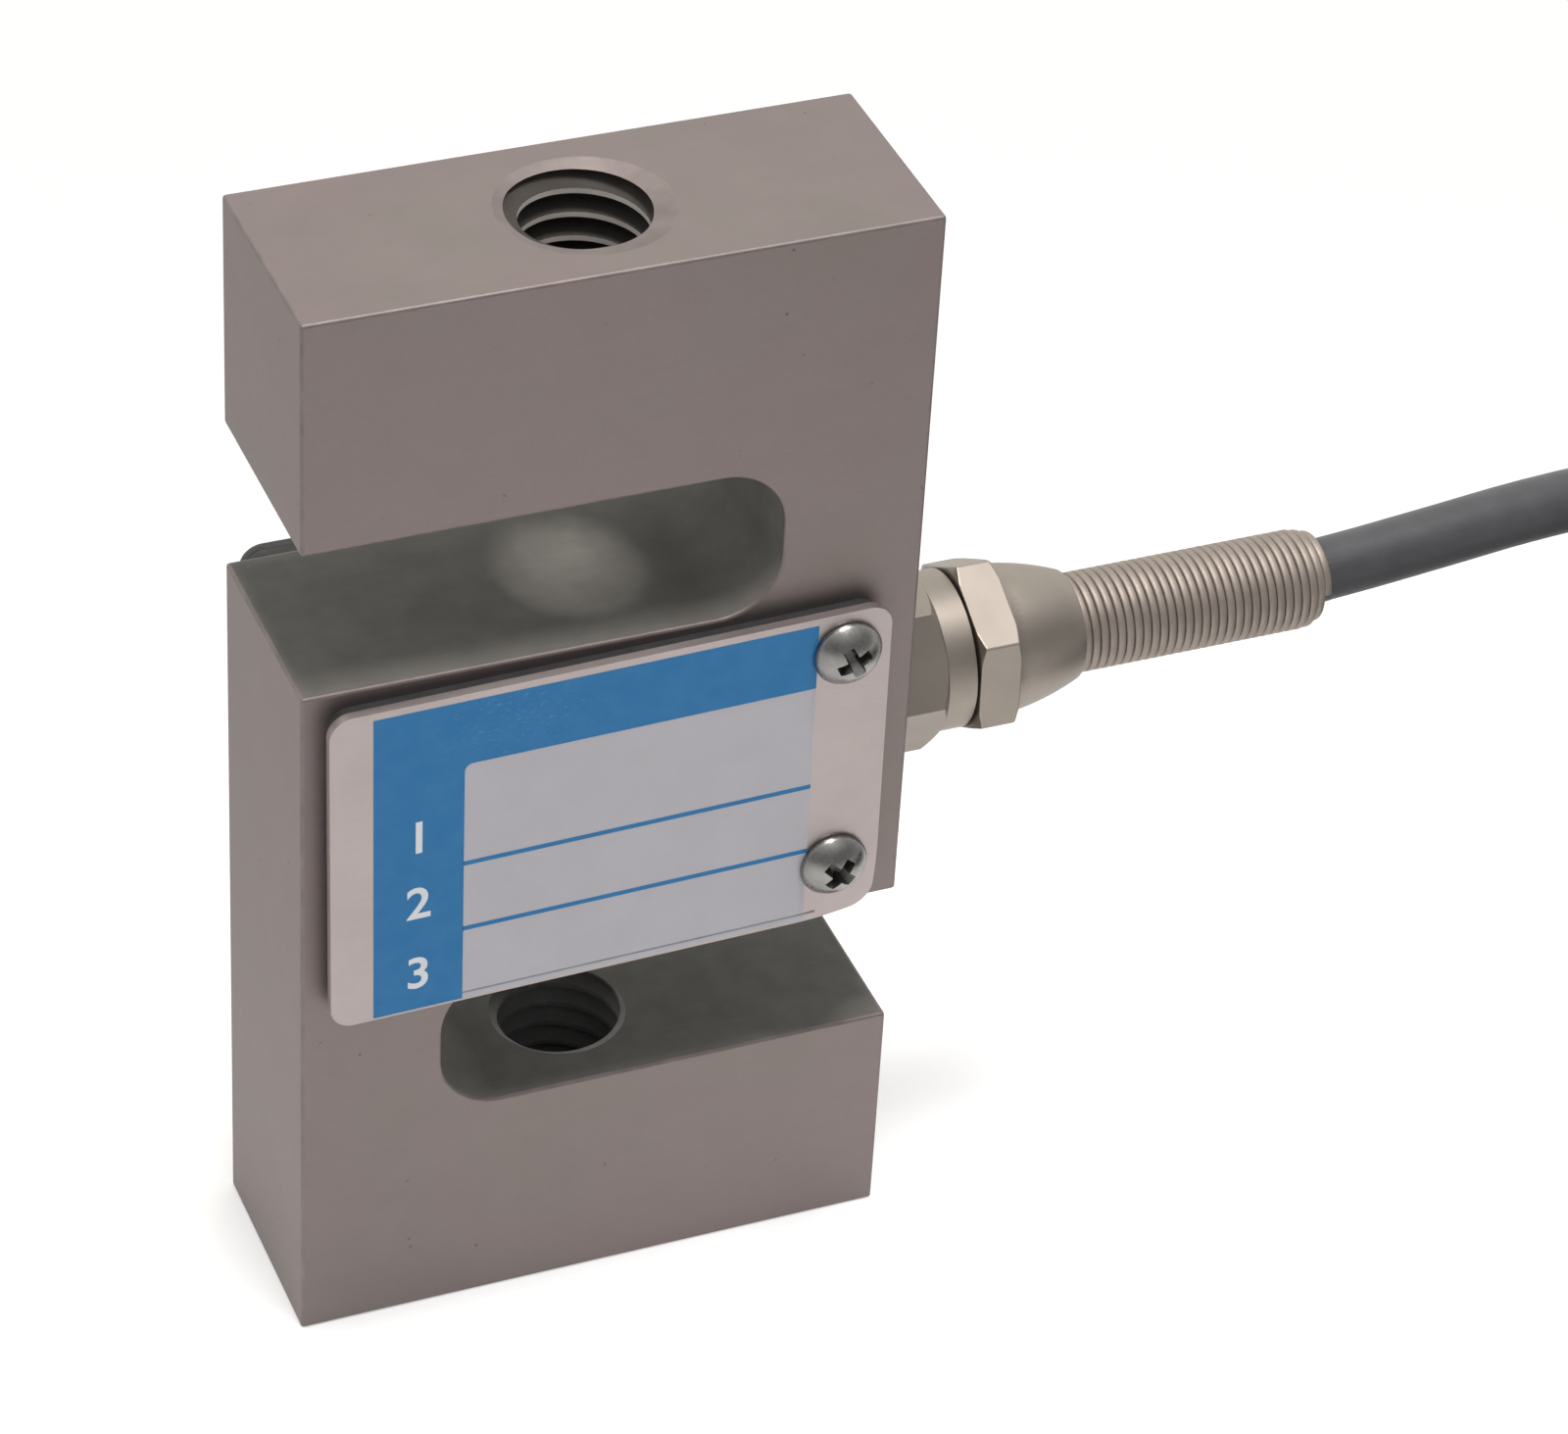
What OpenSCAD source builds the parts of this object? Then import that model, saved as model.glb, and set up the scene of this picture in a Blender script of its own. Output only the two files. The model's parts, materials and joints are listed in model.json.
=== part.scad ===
// S-shaped load cell with a side cable gland, two bolted covers and a coiled cable
// X runs along the width towards the gland, Y from the front cover to the rear one, Z up the load axis.
// The origin is the centre of the lower thread's mouth, on the bottom face.

/* [Sensing body] */
// Width of the body
body_w = 50.8; // [49:0.2:58]
// Height of the body between its two threaded faces
body_h = 98; // [94:0.5:112]
// Thickness of the body
body_t = 19.05; // [17:0.05:25]
// Height of the top arm and of the bottom arm
arm_h = 20.4; // [17:0.1:22]
// Height of each sideways slot
slot_h = 13.2; // [11:0.1:14]
// How far each slot runs past the middle of the body
slot_past = 13.6; // [10:0.1:16]
// Corner radius of each slot's closed end
slot_r = 5.2; // [2:0.1:5.4]

/* [Load threads] */
// Nominal diameter of the two load threads
thread_d = 12; // [10:1:14]
// Pitch of the load threads
thread_pitch = 1.75; // [1:0.25:2]
// How far the countersink at each outer mouth reaches outside the thread
sink_rim = 1; // [0.4:0.1:1.6]

/* [Gauge pocket] */
// Diameter of the two gauge bores
bore_d = 16.8; // [14:0.2:18]
// Distance between the axes of the gauge bores
bore_pitch = 19.6; // [18:0.1:20.4]
// Height of the passage that joins the gauge bores
link_h = 8; // [6:0.2:9]
// Width of each strain gauge around its bore
gauge_w = 4.6; // [3:0.1:6]
// Length of each strain gauge along its bore
gauge_l = 6; // [4:0.1:9]
// Thickness of a strain gauge
gauge_t = 0.15; // [0.1:0.01:0.3]
// Length of the terminal board
board_l = 14; // [12:0.5:16]
// Width of the terminal board
board_w = 4.4; // [4:0.1:4.6]
// Thickness of the terminal board
board_t = 0.8; // [0.5:0.1:1.2]
// Width and length of a solder pad
pad = 1.3; // [0.9:0.1:1.6]
// Thickness of a solder pad
pad_t = 0.1; // [0.05:0.05:0.2]

/* [Covers] */
// Width of a cover
cover_w = 46.2; // [44:0.1:47]
// Height of a cover
cover_h = 30.2; // [27:0.1:30.6]
// Thickness of a cover
cover_t = 0.8; // [0.5:0.1:1.5]
// Corner radius of a cover
cover_r = 1.9; // [0.5:0.1:3]
// How far the covers sit to the side of the middle, away from the gland
cover_shift = 0.6; // [0:0.1:1.4]
// Thickness of the gasket under each cover
gasket_t = 1.2; // [0.8:0.1:2]
// Width of the gasket left around the pocket
gasket_lip = 0.8; // [0.4:0.1:1.2]

/* [Cover screws] */
// Nominal diameter of a cover screw
screw_d = 3; // [2.5:0.1:3]
// Diameter of a cover screw's head
head_d = 5.7; // [5:0.1:6]
// Height of a cover screw's head
head_h = 2; // [1.6:0.1:2.4]
// Length of a cover screw below its head
screw_l = 7; // [5:0.5:9]
// Distance from a screw's axis to the cover's end
screw_inset = 3.8; // [3.2:0.1:4]
// Distance from the upper screw's axis to the cover's top
inset_top = 3.6; // [3.2:0.1:4]
// Distance from the lower screw's axis to the cover's bottom
inset_low = 5.6; // [3.2:0.1:6]

/* [Cable gland] */
// How far the gland's axis sits above the body's mid-height
gland_rise = 0.7; // [0:0.1:1.5]
// Nominal diameter of the gland's mounting thread
spigot_d = 10; // [9:0.5:10]
// Length of the gland's mounting thread
spigot_l = 6.4; // [5:0.1:6.6]
// Width of the gland's base across its flats
base_af = 13.6; // [13.4:0.1:15]
// Length of the gland's hexagonal base
base_l = 4.9; // [4:0.1:7]
// Length of the chamfer between the base's corners and the collar
base_chamfer = 1; // [0.4:0.1:2]
// Diameter of the round collar next to the base
collar_d = 13.2; // [12:0.1:13.4]
// Length of the round collar
collar_l = 2.5; // [1.5:0.1:4]
// Diameter of the barrel that carries the nut
barrel_d = 10.4; // [10:0.1:10.8]
// Length of the barrel
barrel_l = 5.1; // [4:0.1:7]
// Outer diameter of the sealing bush
bush_d = 8.3; // [7.4:0.1:8.6]
// Thickness of the clamp ring in front of the bush
ring_t = 0.8; // [0.5:0.1:1.2]
// Width of the nut across its flats
nut_af = 13.4; // [12.8:0.1:14]
// Length of the nut's hexagon
nut_l = 3.6; // [2.5:0.1:5]
// Running space between the collar and the nut
nut_gap = 0.2; // [0.2:0.1:0.6]
// Diameter of the nut's dome where it leaves the hexagon
dome_d = 12.6; // [12:0.1:12.8]
// Length of the nut's dome
dome_l = 6.8; // [6:0.1:8]
// Radius of the dome's curve
dome_curve = 24; // [18:1:40]
// Width of the sealing ring's section
o_ring_d = 1; // [0.8:0.1:1.2]

/* [Strain relief spring] */
// Outer diameter of the spring
spring_d = 8.4; // [8:0.1:8.6]
// Diameter of the spring's wire
wire_d = 0.75; // [0.6:0.01:0.76]
// Pitch of the spring's turns
spring_pitch = 0.765; // [0.75:0.005:0.9]
// Turns of the spring, its narrowing end included
spring_turns = 32.5; // [28:0.5:34]
// Turns that close in on the cable at the spring's free end
closing_turns = 2.5; // [2:0.5:5]

/* [Cable] */
// Outer diameter of the cable
cable_d = 5.4; // [5:0.1:5.4]
// Angle at which the cable rises as it leaves the spring
cable_lift = 4.8; // [0:0.1:5]
// Length over which the cable bends up inside the spring
lift_l = 7; // [6:0.5:12]
// Diameter of an insulated core
core_d = 1.3; // [1:0.1:1.4]
// Diameter of a bare conductor
bare_d = 0.8; // [0.5:0.1:0.9]
// Outer diameter of the sleeve over the cable's far end
sleeve_d = 6.4; // [6:0.1:7]
// Length of the sleeve over the cable's far end
sleeve_l = 16; // [10:1:25]
// Length of each core outside the sleeve
core_l = 22; // [15:1:25]
// Length of each bare tip
tip_l = 6; // [4:0.5:8]
// Outer radius of the coil
coil_r = 43.5; // [43:0.1:43.8]
// Width of the coil's bundle
coil_w = 21.9; // [20:0.1:24]
// Height of the coil's bundle
coil_h = 21.8; // [20:0.1:24]
// Width of a cable tie's strap
tie_w = 3.6; // [2.5:0.1:5]
// Thickness of a cable tie's strap
tie_t = 1.2; // [0.8:0.1:1.5]

/* [Hidden] */
$fn = 64;

// Clearance between round pieces that fit into each other
fit = 0.05;
// Small overshoot that keeps cuts clean
eps = 0.01;

mid_z = body_h / 2;
gland_z = mid_z + gland_rise;
mid_h = body_h - 2 * (arm_h + slot_h);
side_x = body_w / 2;
tap_r = (thread_d - thread_pitch) / 2;
sink_r = thread_d / 2 + sink_rim;
slot_corner = min(slot_r, slot_h / 2 - 0.2);

screw_x = cover_w / 2 - cover_shift - screw_inset;
screw_rows = [cover_h / 2 - inset_top, inset_low - cover_h / 2];
screw_hole_deep = screw_l - cover_t - gasket_t + 0.8;

base_r = base_af / 2 / cos(30);
nut_r = nut_af / 2 / cos(30);
barrel_x = base_l + collar_l;
nut_x = barrel_x + nut_gap;
// Turn of the nut's hexagon, as tightened
nut_turn = -2.5;
// Thickness of the nut's inner wall, which the spring stands on
seat_t = 2;
seat_x = barrel_x + barrel_l + ring_t + seat_t;
groove_r = spigot_d / 2 + 0.25;
groove_w = o_ring_d + 0.2;
spring_x = side_x + seat_x;
spring_end = spring_x + wire_d + spring_turns * spring_pitch;

// The cable's jacket ends inside the pocket, and its free run starts just past the spring
jacket_x = side_x - spigot_l - 2.4;
exit_x = spring_end + 0.6;

// The cable follows the gland's axis, bends up in an arc near the spring's end and then runs straight
lift_x = exit_x - 1.4 - lift_l;
lift_r = lift_l / sin(max(cable_lift, eps));
function arc_rise(x) = lift_r - sqrt(pow(lift_r, 2) - pow(x - lift_x, 2));
function axis_z(x) =
    gland_z + (x < lift_x ? 0
    : x < lift_x + lift_l ? arc_rise(x)
    : arc_rise(lift_x + lift_l) + (x - lift_x - lift_l) * tan(cable_lift));
function on_axis(x) = [x, 0, axis_z(x)];
sleeve_r = sleeve_d / 2;
core_at = (core_d / 2 + fit) * sqrt(2);
coil_at = [130, -41, 0];
tie_angles = [110, 230];

// Route of the free cable from the spring to the outside of the coil
cable_route = [
    on_axis(exit_x), on_axis(exit_x + 4),
    [78, 0.1, 51.1], [86, 0.5, 51.6], [94, 1.3, 51.2], [102.5, 2.5, 49.2], [111, 3.9, 46],
    [120, 5.2, 41.7], [130, 5.8, 36.7], [139.7, 4.8, 32.4], [149, 1.8, 28.9], [157.5, -3.1, 26.2],
    [164.8, -9.7, 24.2], [170.5, -17.6, 22.8], [174.4, -26.5, 21.9], [176.2, -36.1, 21.4]
];

// Route of the tail from the outside of the coil to the far end
tail_route = [
    [153.4, -81.5, 2.8], [147.9, -84.2, 2.8], [142.1, -86.2, 2.8], [136.1, -87.4, 2.8],
    [130, -87.8, 2.8], [120, -88, 2.8], [110, -88, 3], [102, -88, 3.2], [94, -88, 3.2]
];

function unit(v) = v / norm(v);
function heading(path, i) = unit(path[min(i + 1, len(path) - 1)] - path[max(i - 1, 0)]);
function ring(centre, along, up, r, sides) =
    let (a = unit(cross(along, up)), b = cross(a, along))
    [for (k = [0 : sides - 1]) centre + r * (cos(360 * k / sides) * a + sin(360 * k / sides) * b)];

// Skin over a row of rings with equal point counts, closed at both ends
module skin(rings) {
    n = len(rings);
    sides = len(rings[0]);
    points = [for (row = rings) each row];
    walls = [
        for (i = [0 : n - 2])
            for (k = [0 : sides - 1])
                let (a = i * sides + k, b = i * sides + (k + 1) % sides)
                each [[a, b, b + sides], [a, b + sides, a + sides]]
    ];
    first_cap = [for (k = [sides - 1 : -1 : 0]) k];
    last_cap = [for (k = [0 : sides - 1]) (n - 1) * sides + k];
    polyhedron(points, concat([first_cap], walls, [last_cap]), convexity = 10);
}

// Round tube of radius r along a path
module tube(path, r, sides = 8, up = [0, 0, 1]) {
    skin([for (i = [0 : len(path) - 1]) ring(path[i], heading(path, i), up, r, sides)]);
}

// Rectangle with round corners, centred
module rounded(w, h, r) {
    square([w - 2 * r, h], center = true);
    square([w, h - 2 * r], center = true);
    for (x = [r - w / 2, w / 2 - r], y = [r - h / 2, h / 2 - r])
        translate([x, y])
            circle(r);
}

// Places an XZ drawing on the front face, growing outwards
module on_front() {
    translate([0, -body_t / 2, mid_z])
        rotate([90, 0, 0])
            children();
}

// Places an XZ drawing on the rear face, growing outwards
module on_rear() {
    translate([0, body_t / 2, mid_z])
        rotate([90, 0, 0])
            mirror([0, 0, 1])
                children();
}

// Places a turned piece on the gland's axis, x past the body's side
module on_gland(x) {
    translate([side_x + x, 0, gland_z])
        rotate([0, 90, 0])
            children();
}

module at_screws() {
    for (z = screw_rows)
        translate([screw_x, z, 0])
            children();
}

// One sideways slot, open at the left, drawn about its own mid-height
module slot_outline() {
    translate([-body_w, -slot_h / 2])
        square([body_w + slot_past - slot_corner, slot_h]);
    translate([slot_past / 2, 0])
        rounded(slot_past, slot_h, slot_corner);
}

// Two gauge bores joined by a passage
module pocket_outline(grow = 0) {
    for (x = [-bore_pitch / 2, bore_pitch / 2])
        translate([x, 0])
            circle(bore_d / 2 + grow);
    square([bore_pitch, link_h + 2 * grow], center = true);
}

module through_thickness() {
    rotate([90, 0, 0])
        linear_extrude(body_t + 2, center = true)
            children();
}

// Tapped hole through the bottom arm, with a countersink at its outer mouth
module load_thread() {
    deep = sink_r - tap_r;
    translate([0, 0, -1])
        cylinder(r = tap_r, h = arm_h + 2);
    translate([0, 0, -eps])
        cylinder(r1 = sink_r + eps, r2 = tap_r, h = deep + eps);
}

module sensing_body() {
    color("#8f8783")
        difference() {
            translate([-body_w / 2, -body_t / 2, 0])
                cube([body_w, body_t, body_h]);
            translate([0, 0, body_h - arm_h - slot_h / 2])
                through_thickness()
                    slot_outline();
            translate([0, 0, arm_h + slot_h / 2])
                through_thickness()
                    mirror([1, 0])
                        slot_outline();
            translate([0, 0, mid_z])
                through_thickness()
                    pocket_outline();
            load_thread();
            translate([0, 0, body_h])
                mirror([0, 0, 1])
                    load_thread();
            on_gland(-spigot_l - bore_d / 4)
                cylinder(d = spigot_d, h = spigot_l + bore_d / 4 + 1);
            on_front()
                at_screws()
                    translate([0, 0, -screw_hole_deep])
                        cylinder(d = screw_d, h = screw_hole_deep + 1);
            on_rear()
                at_screws()
                    translate([0, 0, -screw_hole_deep])
                        cylinder(d = screw_d, h = screw_hole_deep + 1);
        }
}

module cover_outline() {
    translate([-cover_shift, 0])
        rounded(cover_w, cover_h, cover_r);
}

module gasket() {
    linear_extrude(gasket_t)
        difference() {
            cover_outline();
            pocket_outline(gasket_lip);
            at_screws()
                circle(d = screw_d + 0.4);
        }
}

module cover() {
    translate([0, 0, gasket_t])
        linear_extrude(cover_t)
            difference() {
                cover_outline();
                at_screws()
                    circle(d = screw_d + 0.3);
            }
}

// Pan-head screw with a cross recess, its head seated on the cover
module cover_screw(turn) {
    rim_h = 0.35 * head_h;
    dome_h = head_h - rim_h;
    dome_r = (pow(head_d / 2, 2) + dome_h * dome_h) / (2 * dome_h);
    recess = [0.16 * head_d, 0.56 * head_d, 0.6 * head_h];
    translate([0, 0, gasket_t + cover_t]) {
        difference() {
            intersection() {
                cylinder(d = head_d, h = head_h);
                translate([0, 0, head_h - dome_r])
                    sphere(dome_r);
            }
            for (a = [turn, turn + 90])
                rotate([0, 0, a])
                    translate([-recess[0] / 2, -recess[1] / 2, head_h - recess[2]])
                        cube(recess);
        }
        translate([0, 0, -screw_l])
            cylinder(d = screw_d - 2 * fit, h = screw_l + eps);
    }
}

module cover_screws() {
    turns = [25, 50];
    for (i = [0, 1])
        translate([screw_x, screw_rows[i], 0])
            cover_screw(turns[i]);
}

module front_gasket() {
    color("#1b1b1c")
        on_front()
            gasket();
}

module front_cover() {
    color("#c3bdbb")
        on_front()
            cover();
}

module front_cover_screws() {
    color("#a9a7a3")
        on_front()
            cover_screws();
}

module rear_gasket() {
    color("#1b1b1c")
        on_rear()
            gasket();
}

module rear_cover() {
    color("#222224")
        on_rear()
            cover();
}

module rear_cover_screws() {
    color("#a9a7a3")
        on_rear()
            cover_screws();
}

// Foil gauges on the thinnest walls, above and below each gauge bore
module strain_gauges() {
    outer = bore_d / 2 - 0.02;
    color("#c98a2e")
        for (x = [-bore_pitch / 2, bore_pitch / 2], low = [0, 1])
            translate([x, 0, mid_z])
                mirror([0, 0, low])
                    intersection() {
                        rotate([90, 0, 0])
                            difference() {
                                cylinder(r = outer, h = gauge_l, center = true);
                                cylinder(r = outer - gauge_t, h = gauge_l + 1, center = true);
                            }
                        translate([-gauge_w / 2, -gauge_l, 0])
                            cube([gauge_w, 2 * gauge_l, bore_d]);
                    }
}

board_z = mid_z - link_h / 2;
pad_z = board_z + board_t;
pad_ys = [for (i = [0 : 3]) (i - 1.5) * board_l / 4];
pad_x = board_w / 2 - pad / 2 - 0.2;

module terminal_board() {
    color("#2f6b3c")
        translate([-board_w / 2, -board_l / 2, board_z])
            cube([board_w, board_l, board_t]);
}

module solder_pads() {
    color("#d0cfc9")
        for (y = pad_ys, x = [-pad_x, pad_x])
            translate([x - pad / 2, y - pad / 2, pad_z])
                cube([pad, pad, pad_t]);
}

// Small trimming resistors that bridge the space between pads
module bridge_resistors() {
    size = [1.1, 1.6, 0.45];
    color("#3a3a3d")
        for (y = [pad_ys[0], pad_ys[3]])
            translate([-size[0] / 2, y + board_l / 8 - size[1] / 2, pad_z])
                cube(size);
}

// A pair of fine wires from each gauge to the pads on the board's left edge
module gauge_wires() {
    wire_r = 0.11;
    gauge_in = bore_d / 2 - 0.02 - gauge_t - wire_r;
    color("#b5562d")
        for (right = [0, 1], low = [0, 1], gap = [-0.25, 0.25]) {
            x = (right - 0.5) * bore_pitch;
            dir = 1 - 2 * low;
            pad_y = pad_ys[right * 2 + low];
            y = gap + (right * low == 1 ? board_l / 2 + 0.5 : pad_y);
            tube([
                [x, gap + 0.3 * pad_y, mid_z + dir * gauge_in],
                [0.75 * x, y, mid_z + dir * (gauge_in - 1.7)],
                [0.42 * x, y, mid_z + dir * 1.5],
                [0.15 * x, y, mid_z + 3],
                [-pad_x, gap + pad_y, pad_z + pad_t + 1.6],
                [-pad_x, gap + pad_y, pad_z + pad_t]
            ], wire_r, 6, [0, 1, 0.02]);
        }
}

// One insulated core from the jacket's end to its pad
module inner_lead(i) {
    a = 45 + 90 * i;
    start = [jacket_x, core_at * cos(a), gland_z + core_at * sin(a)];
    y = pad_ys[i == 0 ? 2 : i == 1 ? 1 : i == 2 ? 0 : 3];
    pad_top = pad_z + pad_t;
    tube([
        start,
        start - [2, 0, 0],
        [jacket_x - 6, 0.45 * y + start[1] / 2, (start[2] + mid_z) / 2],
        [pad_x + 4, 0.8 * y, mid_z + 0.2],
        [pad_x + 0.8, y, pad_top + 2.6],
        [pad_x, y, pad_top + 1.4],
        [pad_x, y, pad_top]
    ], 0.42 * core_d, 8, [0.02, 1, 0]);
}

module lead_red() {
    color("#b3201e")
        inner_lead(0);
}

module lead_black() {
    color("#1a1a1a")
        inner_lead(1);
}

module lead_green() {
    color("#1f7a3a")
        inner_lead(2);
}

module lead_white() {
    color("#e4e2dc")
        inner_lead(3);
}

module hex_prism(r, h, turn) {
    rotate([0, 0, turn])
        cylinder(r = r, h = h, $fn = 6);
}

module gland_body() {
    color("#b5aea4")
        on_gland(0)
            difference() {
                union() {
                    intersection() {
                        hex_prism(base_r, base_l, 30);
                        union() {
                            cylinder(r = base_r + 1, h = base_l - base_chamfer);
                            translate([0, 0, base_l - base_chamfer])
                                cylinder(r1 = base_r + 0.1, r2 = collar_d / 2 + 0.1, h = base_chamfer);
                        }
                    }
                    cylinder(d = collar_d, h = barrel_x);
                    cylinder(d = barrel_d, h = barrel_x + barrel_l);
                    translate([0, 0, -spigot_l])
                        cylinder(d = spigot_d - 2 * fit, h = spigot_l + 1);
                }
                translate([0, 0, -spigot_l - 1])
                    cylinder(d = cable_d + 0.3, h = spigot_l + barrel_x + barrel_l + 2);
                translate([0, 0, barrel_x])
                    cylinder(d = bush_d, h = barrel_l + 1);
                translate([0, 0, -eps])
                    difference() {
                        cylinder(r = groove_r + groove_w, h = o_ring_d + eps);
                        cylinder(r = groove_r, h = 3 * o_ring_d, center = true);
                    }
            }
}

module gland_o_ring() {
    color("#1b1b1c")
        on_gland(o_ring_d / 2)
            rotate_extrude()
                translate([groove_r + groove_w / 2, 0])
                    circle(d = o_ring_d);
}

module sealing_bush() {
    color("#2a2a2c")
        on_gland(barrel_x)
            difference() {
                cylinder(d = bush_d - 2 * fit, h = barrel_l);
                translate([0, 0, -1])
                    cylinder(d = cable_d + 2 * fit, h = barrel_l + 2);
            }
}

module clamp_ring() {
    color("#c8a04a")
        on_gland(barrel_x + barrel_l)
            difference() {
                cylinder(d = barrel_d - 2 * fit, h = ring_t);
                translate([0, 0, -1])
                    cylinder(d = cable_d + 0.4, h = ring_t + 2);
            }
}

// Curved dome from the hexagon down to the spring's mouth, turned, with a root inside the hexagon
module nut_dome() {
    root_l = nut_l / 2;
    mouth_r = spring_d / 2 + 0.4;
    fall = dome_d / 2 - mouth_r;
    chord = norm([fall, dome_l]);
    reach = sqrt(pow(dome_curve, 2) - pow(chord / 2, 2)) / chord;
    centre_r = (dome_d / 2 + mouth_r) / 2 - reach * dome_l;
    centre_x = dome_l / 2 - reach * fall;
    rotate_extrude()
        intersection() {
            translate([0, -root_l])
                square([dome_d / 2, dome_l + root_l]);
            translate([centre_r, centre_x])
                circle(dome_curve, $fn = 256);
        }
}

module gland_nut() {
    inner_l = barrel_l - nut_gap + ring_t;
    chamfer_l = 0.4;
    end_r = nut_r - 0.7;
    full_r = nut_r + 0.1;
    color("#b8b1a8")
        on_gland(nut_x)
            difference() {
                union() {
                    intersection() {
                        hex_prism(nut_r, nut_l, nut_turn);
                        union() {
                            cylinder(r1 = end_r, r2 = full_r, h = chamfer_l);
                            translate([0, 0, chamfer_l])
                                cylinder(r = full_r, h = nut_l - 2 * chamfer_l);
                            translate([0, 0, nut_l - chamfer_l])
                                cylinder(r1 = full_r, r2 = end_r, h = chamfer_l);
                        }
                    }
                    translate([0, 0, nut_l])
                        nut_dome();
                }
                translate([0, 0, -1])
                    cylinder(d = barrel_d + 2 * fit, h = inner_l + 1);
                cylinder(d = cable_d + 0.8, h = nut_l + dome_l + 1);
                translate([0, 0, inner_l + seat_t])
                    cylinder(d = spring_d + 2 * fit, h = dome_l + nut_l);
            }
}

// Close-wound spring whose last turns close in on the cable and lean with it
module strain_relief_spring() {
    steps = 20;
    sides = 6;
    full_r = (spring_d - wire_d) / 2;
    end_r = (cable_d + wire_d) / 2 + fit;
    count = round(spring_turns * steps);
    closing_from = 1 - closing_turns / spring_turns;
    wire_rings = [
        for (i = [0 : count])
            let (
                u = i / count,
                a = 360 * spring_turns * u,
                v = max(0, (u - closing_from) / (1 - closing_from)),
                r = end_r + (full_r - end_r) * cos(90 * v),
                out = [0, cos(a), sin(a)],
                x = spring_x + wire_d / 2 + u * spring_turns * spring_pitch,
                lean = (1 - cos(90 * v)) * (axis_z(x) - gland_z),
                centre = [x, 0, gland_z + lean] + r * out
            )
            [for (k = [0 : sides - 1])
                centre + wire_d / 2 * (cos(360 * k / sides) * out + [sin(360 * k / sides), 0, 0])]
    ];
    color("#a39c94")
        skin(wire_rings);
}

// Jacketed cable from the pocket through the gland and the spring
module cable_entry() {
    arc_xs = [for (u = [0 : 0.25 : 1]) lift_x + u * lift_l];
    color("#3c3d40")
        tube([for (x = [jacket_x, each arc_xs, exit_x]) on_axis(x)], cable_d / 2, 32);
}

module cable() {
    color("#3c3d40")
        tube(cable_route, cable_d / 2, 12);
}

module coil_section(grow = 0) {
    translate([coil_r - coil_w / 2, tie_t + coil_h / 2])
        rounded(coil_w + 2 * grow, coil_h + 2 * grow, 0.75 * cable_d + grow);
}

module cable_coil() {
    color("#3c3d40")
        translate(coil_at)
            rotate_extrude()
                coil_section();
}

module cable_tail() {
    color("#3c3d40")
        tube(tail_route, cable_d / 2, 12);
}

// Straps round the coil's bundle, each with its head on the outside
module cable_ties() {
    span = tie_w / coil_r * 180 / PI;
    head = [3, 5.2, 4.4];
    color("#26262a")
        for (a = tie_angles)
            translate(coil_at)
                rotate([0, 0, a - span / 2]) {
                    rotate_extrude(angle = span)
                        difference() {
                            coil_section(tie_t);
                            coil_section();
                        }
                    rotate([0, 0, span / 2])
                        translate([coil_r + tie_t / 2, -head[1] / 2, tie_t + coil_h / 2 - head[2] / 2])
                            cube(head);
                }
}

// The far end: sleeve, cores and drain wire, drawn along +Z from the jacket's end
far_end = tail_route[len(tail_route) - 1];
jacket_in = sleeve_l / 2;
bundle_r = core_at + core_d / 2 + 0.1;

module at_far_end() {
    translate(far_end)
        rotate([0, -90, 0])
            children();
}

function core_start(i) = core_at * [cos(45 + 90 * i), sin(45 + 90 * i)];
function core_path(i) =
    let (
        s = core_start(i),
        out = jacket_in,
        spread = [s[0] < 0 ? -1 : -1.6, (1.5 - i) * 1.6]
    )
    [
        [s[0], s[1], 0],
        [s[0], s[1], out],
        for (u = [0.25, 0.5, 0.75, 1])
            [s[0] + spread[0] * u * u, s[1] + (spread[1] - s[1]) * 1.6 * u * u, out + core_l * u]
    ];

module end_sleeve() {
    color("#1b1b1c")
        at_far_end()
            difference() {
                translate([0, 0, -jacket_in])
                    cylinder(r = sleeve_r, h = sleeve_l);
                translate([0, 0, -jacket_in - 1])
                    cylinder(d = cable_d + 2 * fit, h = jacket_in + 1);
                cylinder(r = bundle_r, h = sleeve_l);
            }
}

module core(i) {
    at_far_end()
        tube(core_path(i), core_d / 2, 8, [1, 0, 0]);
}

module core_red() {
    color("#b3201e")
        core(0);
}

module core_black() {
    color("#1a1a1a")
        core(1);
}

module core_green() {
    color("#1f7a3a")
        core(2);
}

module core_white() {
    color("#e4e2dc")
        core(3);
}

// Tinned conductor that ends each core
module bare_tips() {
    color("#c9c7c1")
        at_far_end()
            for (i = [0 : 3]) {
                path = core_path(i);
                last = len(path) - 1;
                along = heading(path, last);
                tube([path[last], path[last] + tip_l * along], bare_d / 2, 8, [1, 0, 0]);
            }
}

// Twisted screen wires drawn out beside the cores
module shield_drain() {
    wire_r = 0.25;
    start = bundle_r - wire_r - fit;
    color("#c9c7c1")
        at_far_end()
            tube([
                [0, start, 0],
                [0, start, jacket_in],
                for (u = [0.25, 0.5, 0.75, 1])
                    [-1.2 * u * u, start + 4.6 * u * u, jacket_in + 0.9 * core_l * u]
            ], wire_r, 8, [1, 0, 0]);
}

sensing_body();
front_gasket();
front_cover();
front_cover_screws();
rear_gasket();
rear_cover();
rear_cover_screws();
strain_gauges();
terminal_board();
solder_pads();
bridge_resistors();
gauge_wires();
lead_red();
lead_black();
lead_green();
lead_white();
gland_body();
gland_o_ring();
sealing_bush();
clamp_ring();
gland_nut();
strain_relief_spring();
cable_entry();
cable();
cable_coil();
cable_tail();
cable_ties();
end_sleeve();
core_red();
core_black();
core_green();
core_white();
bare_tips();
shield_drain();
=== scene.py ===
import json
import math

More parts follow.
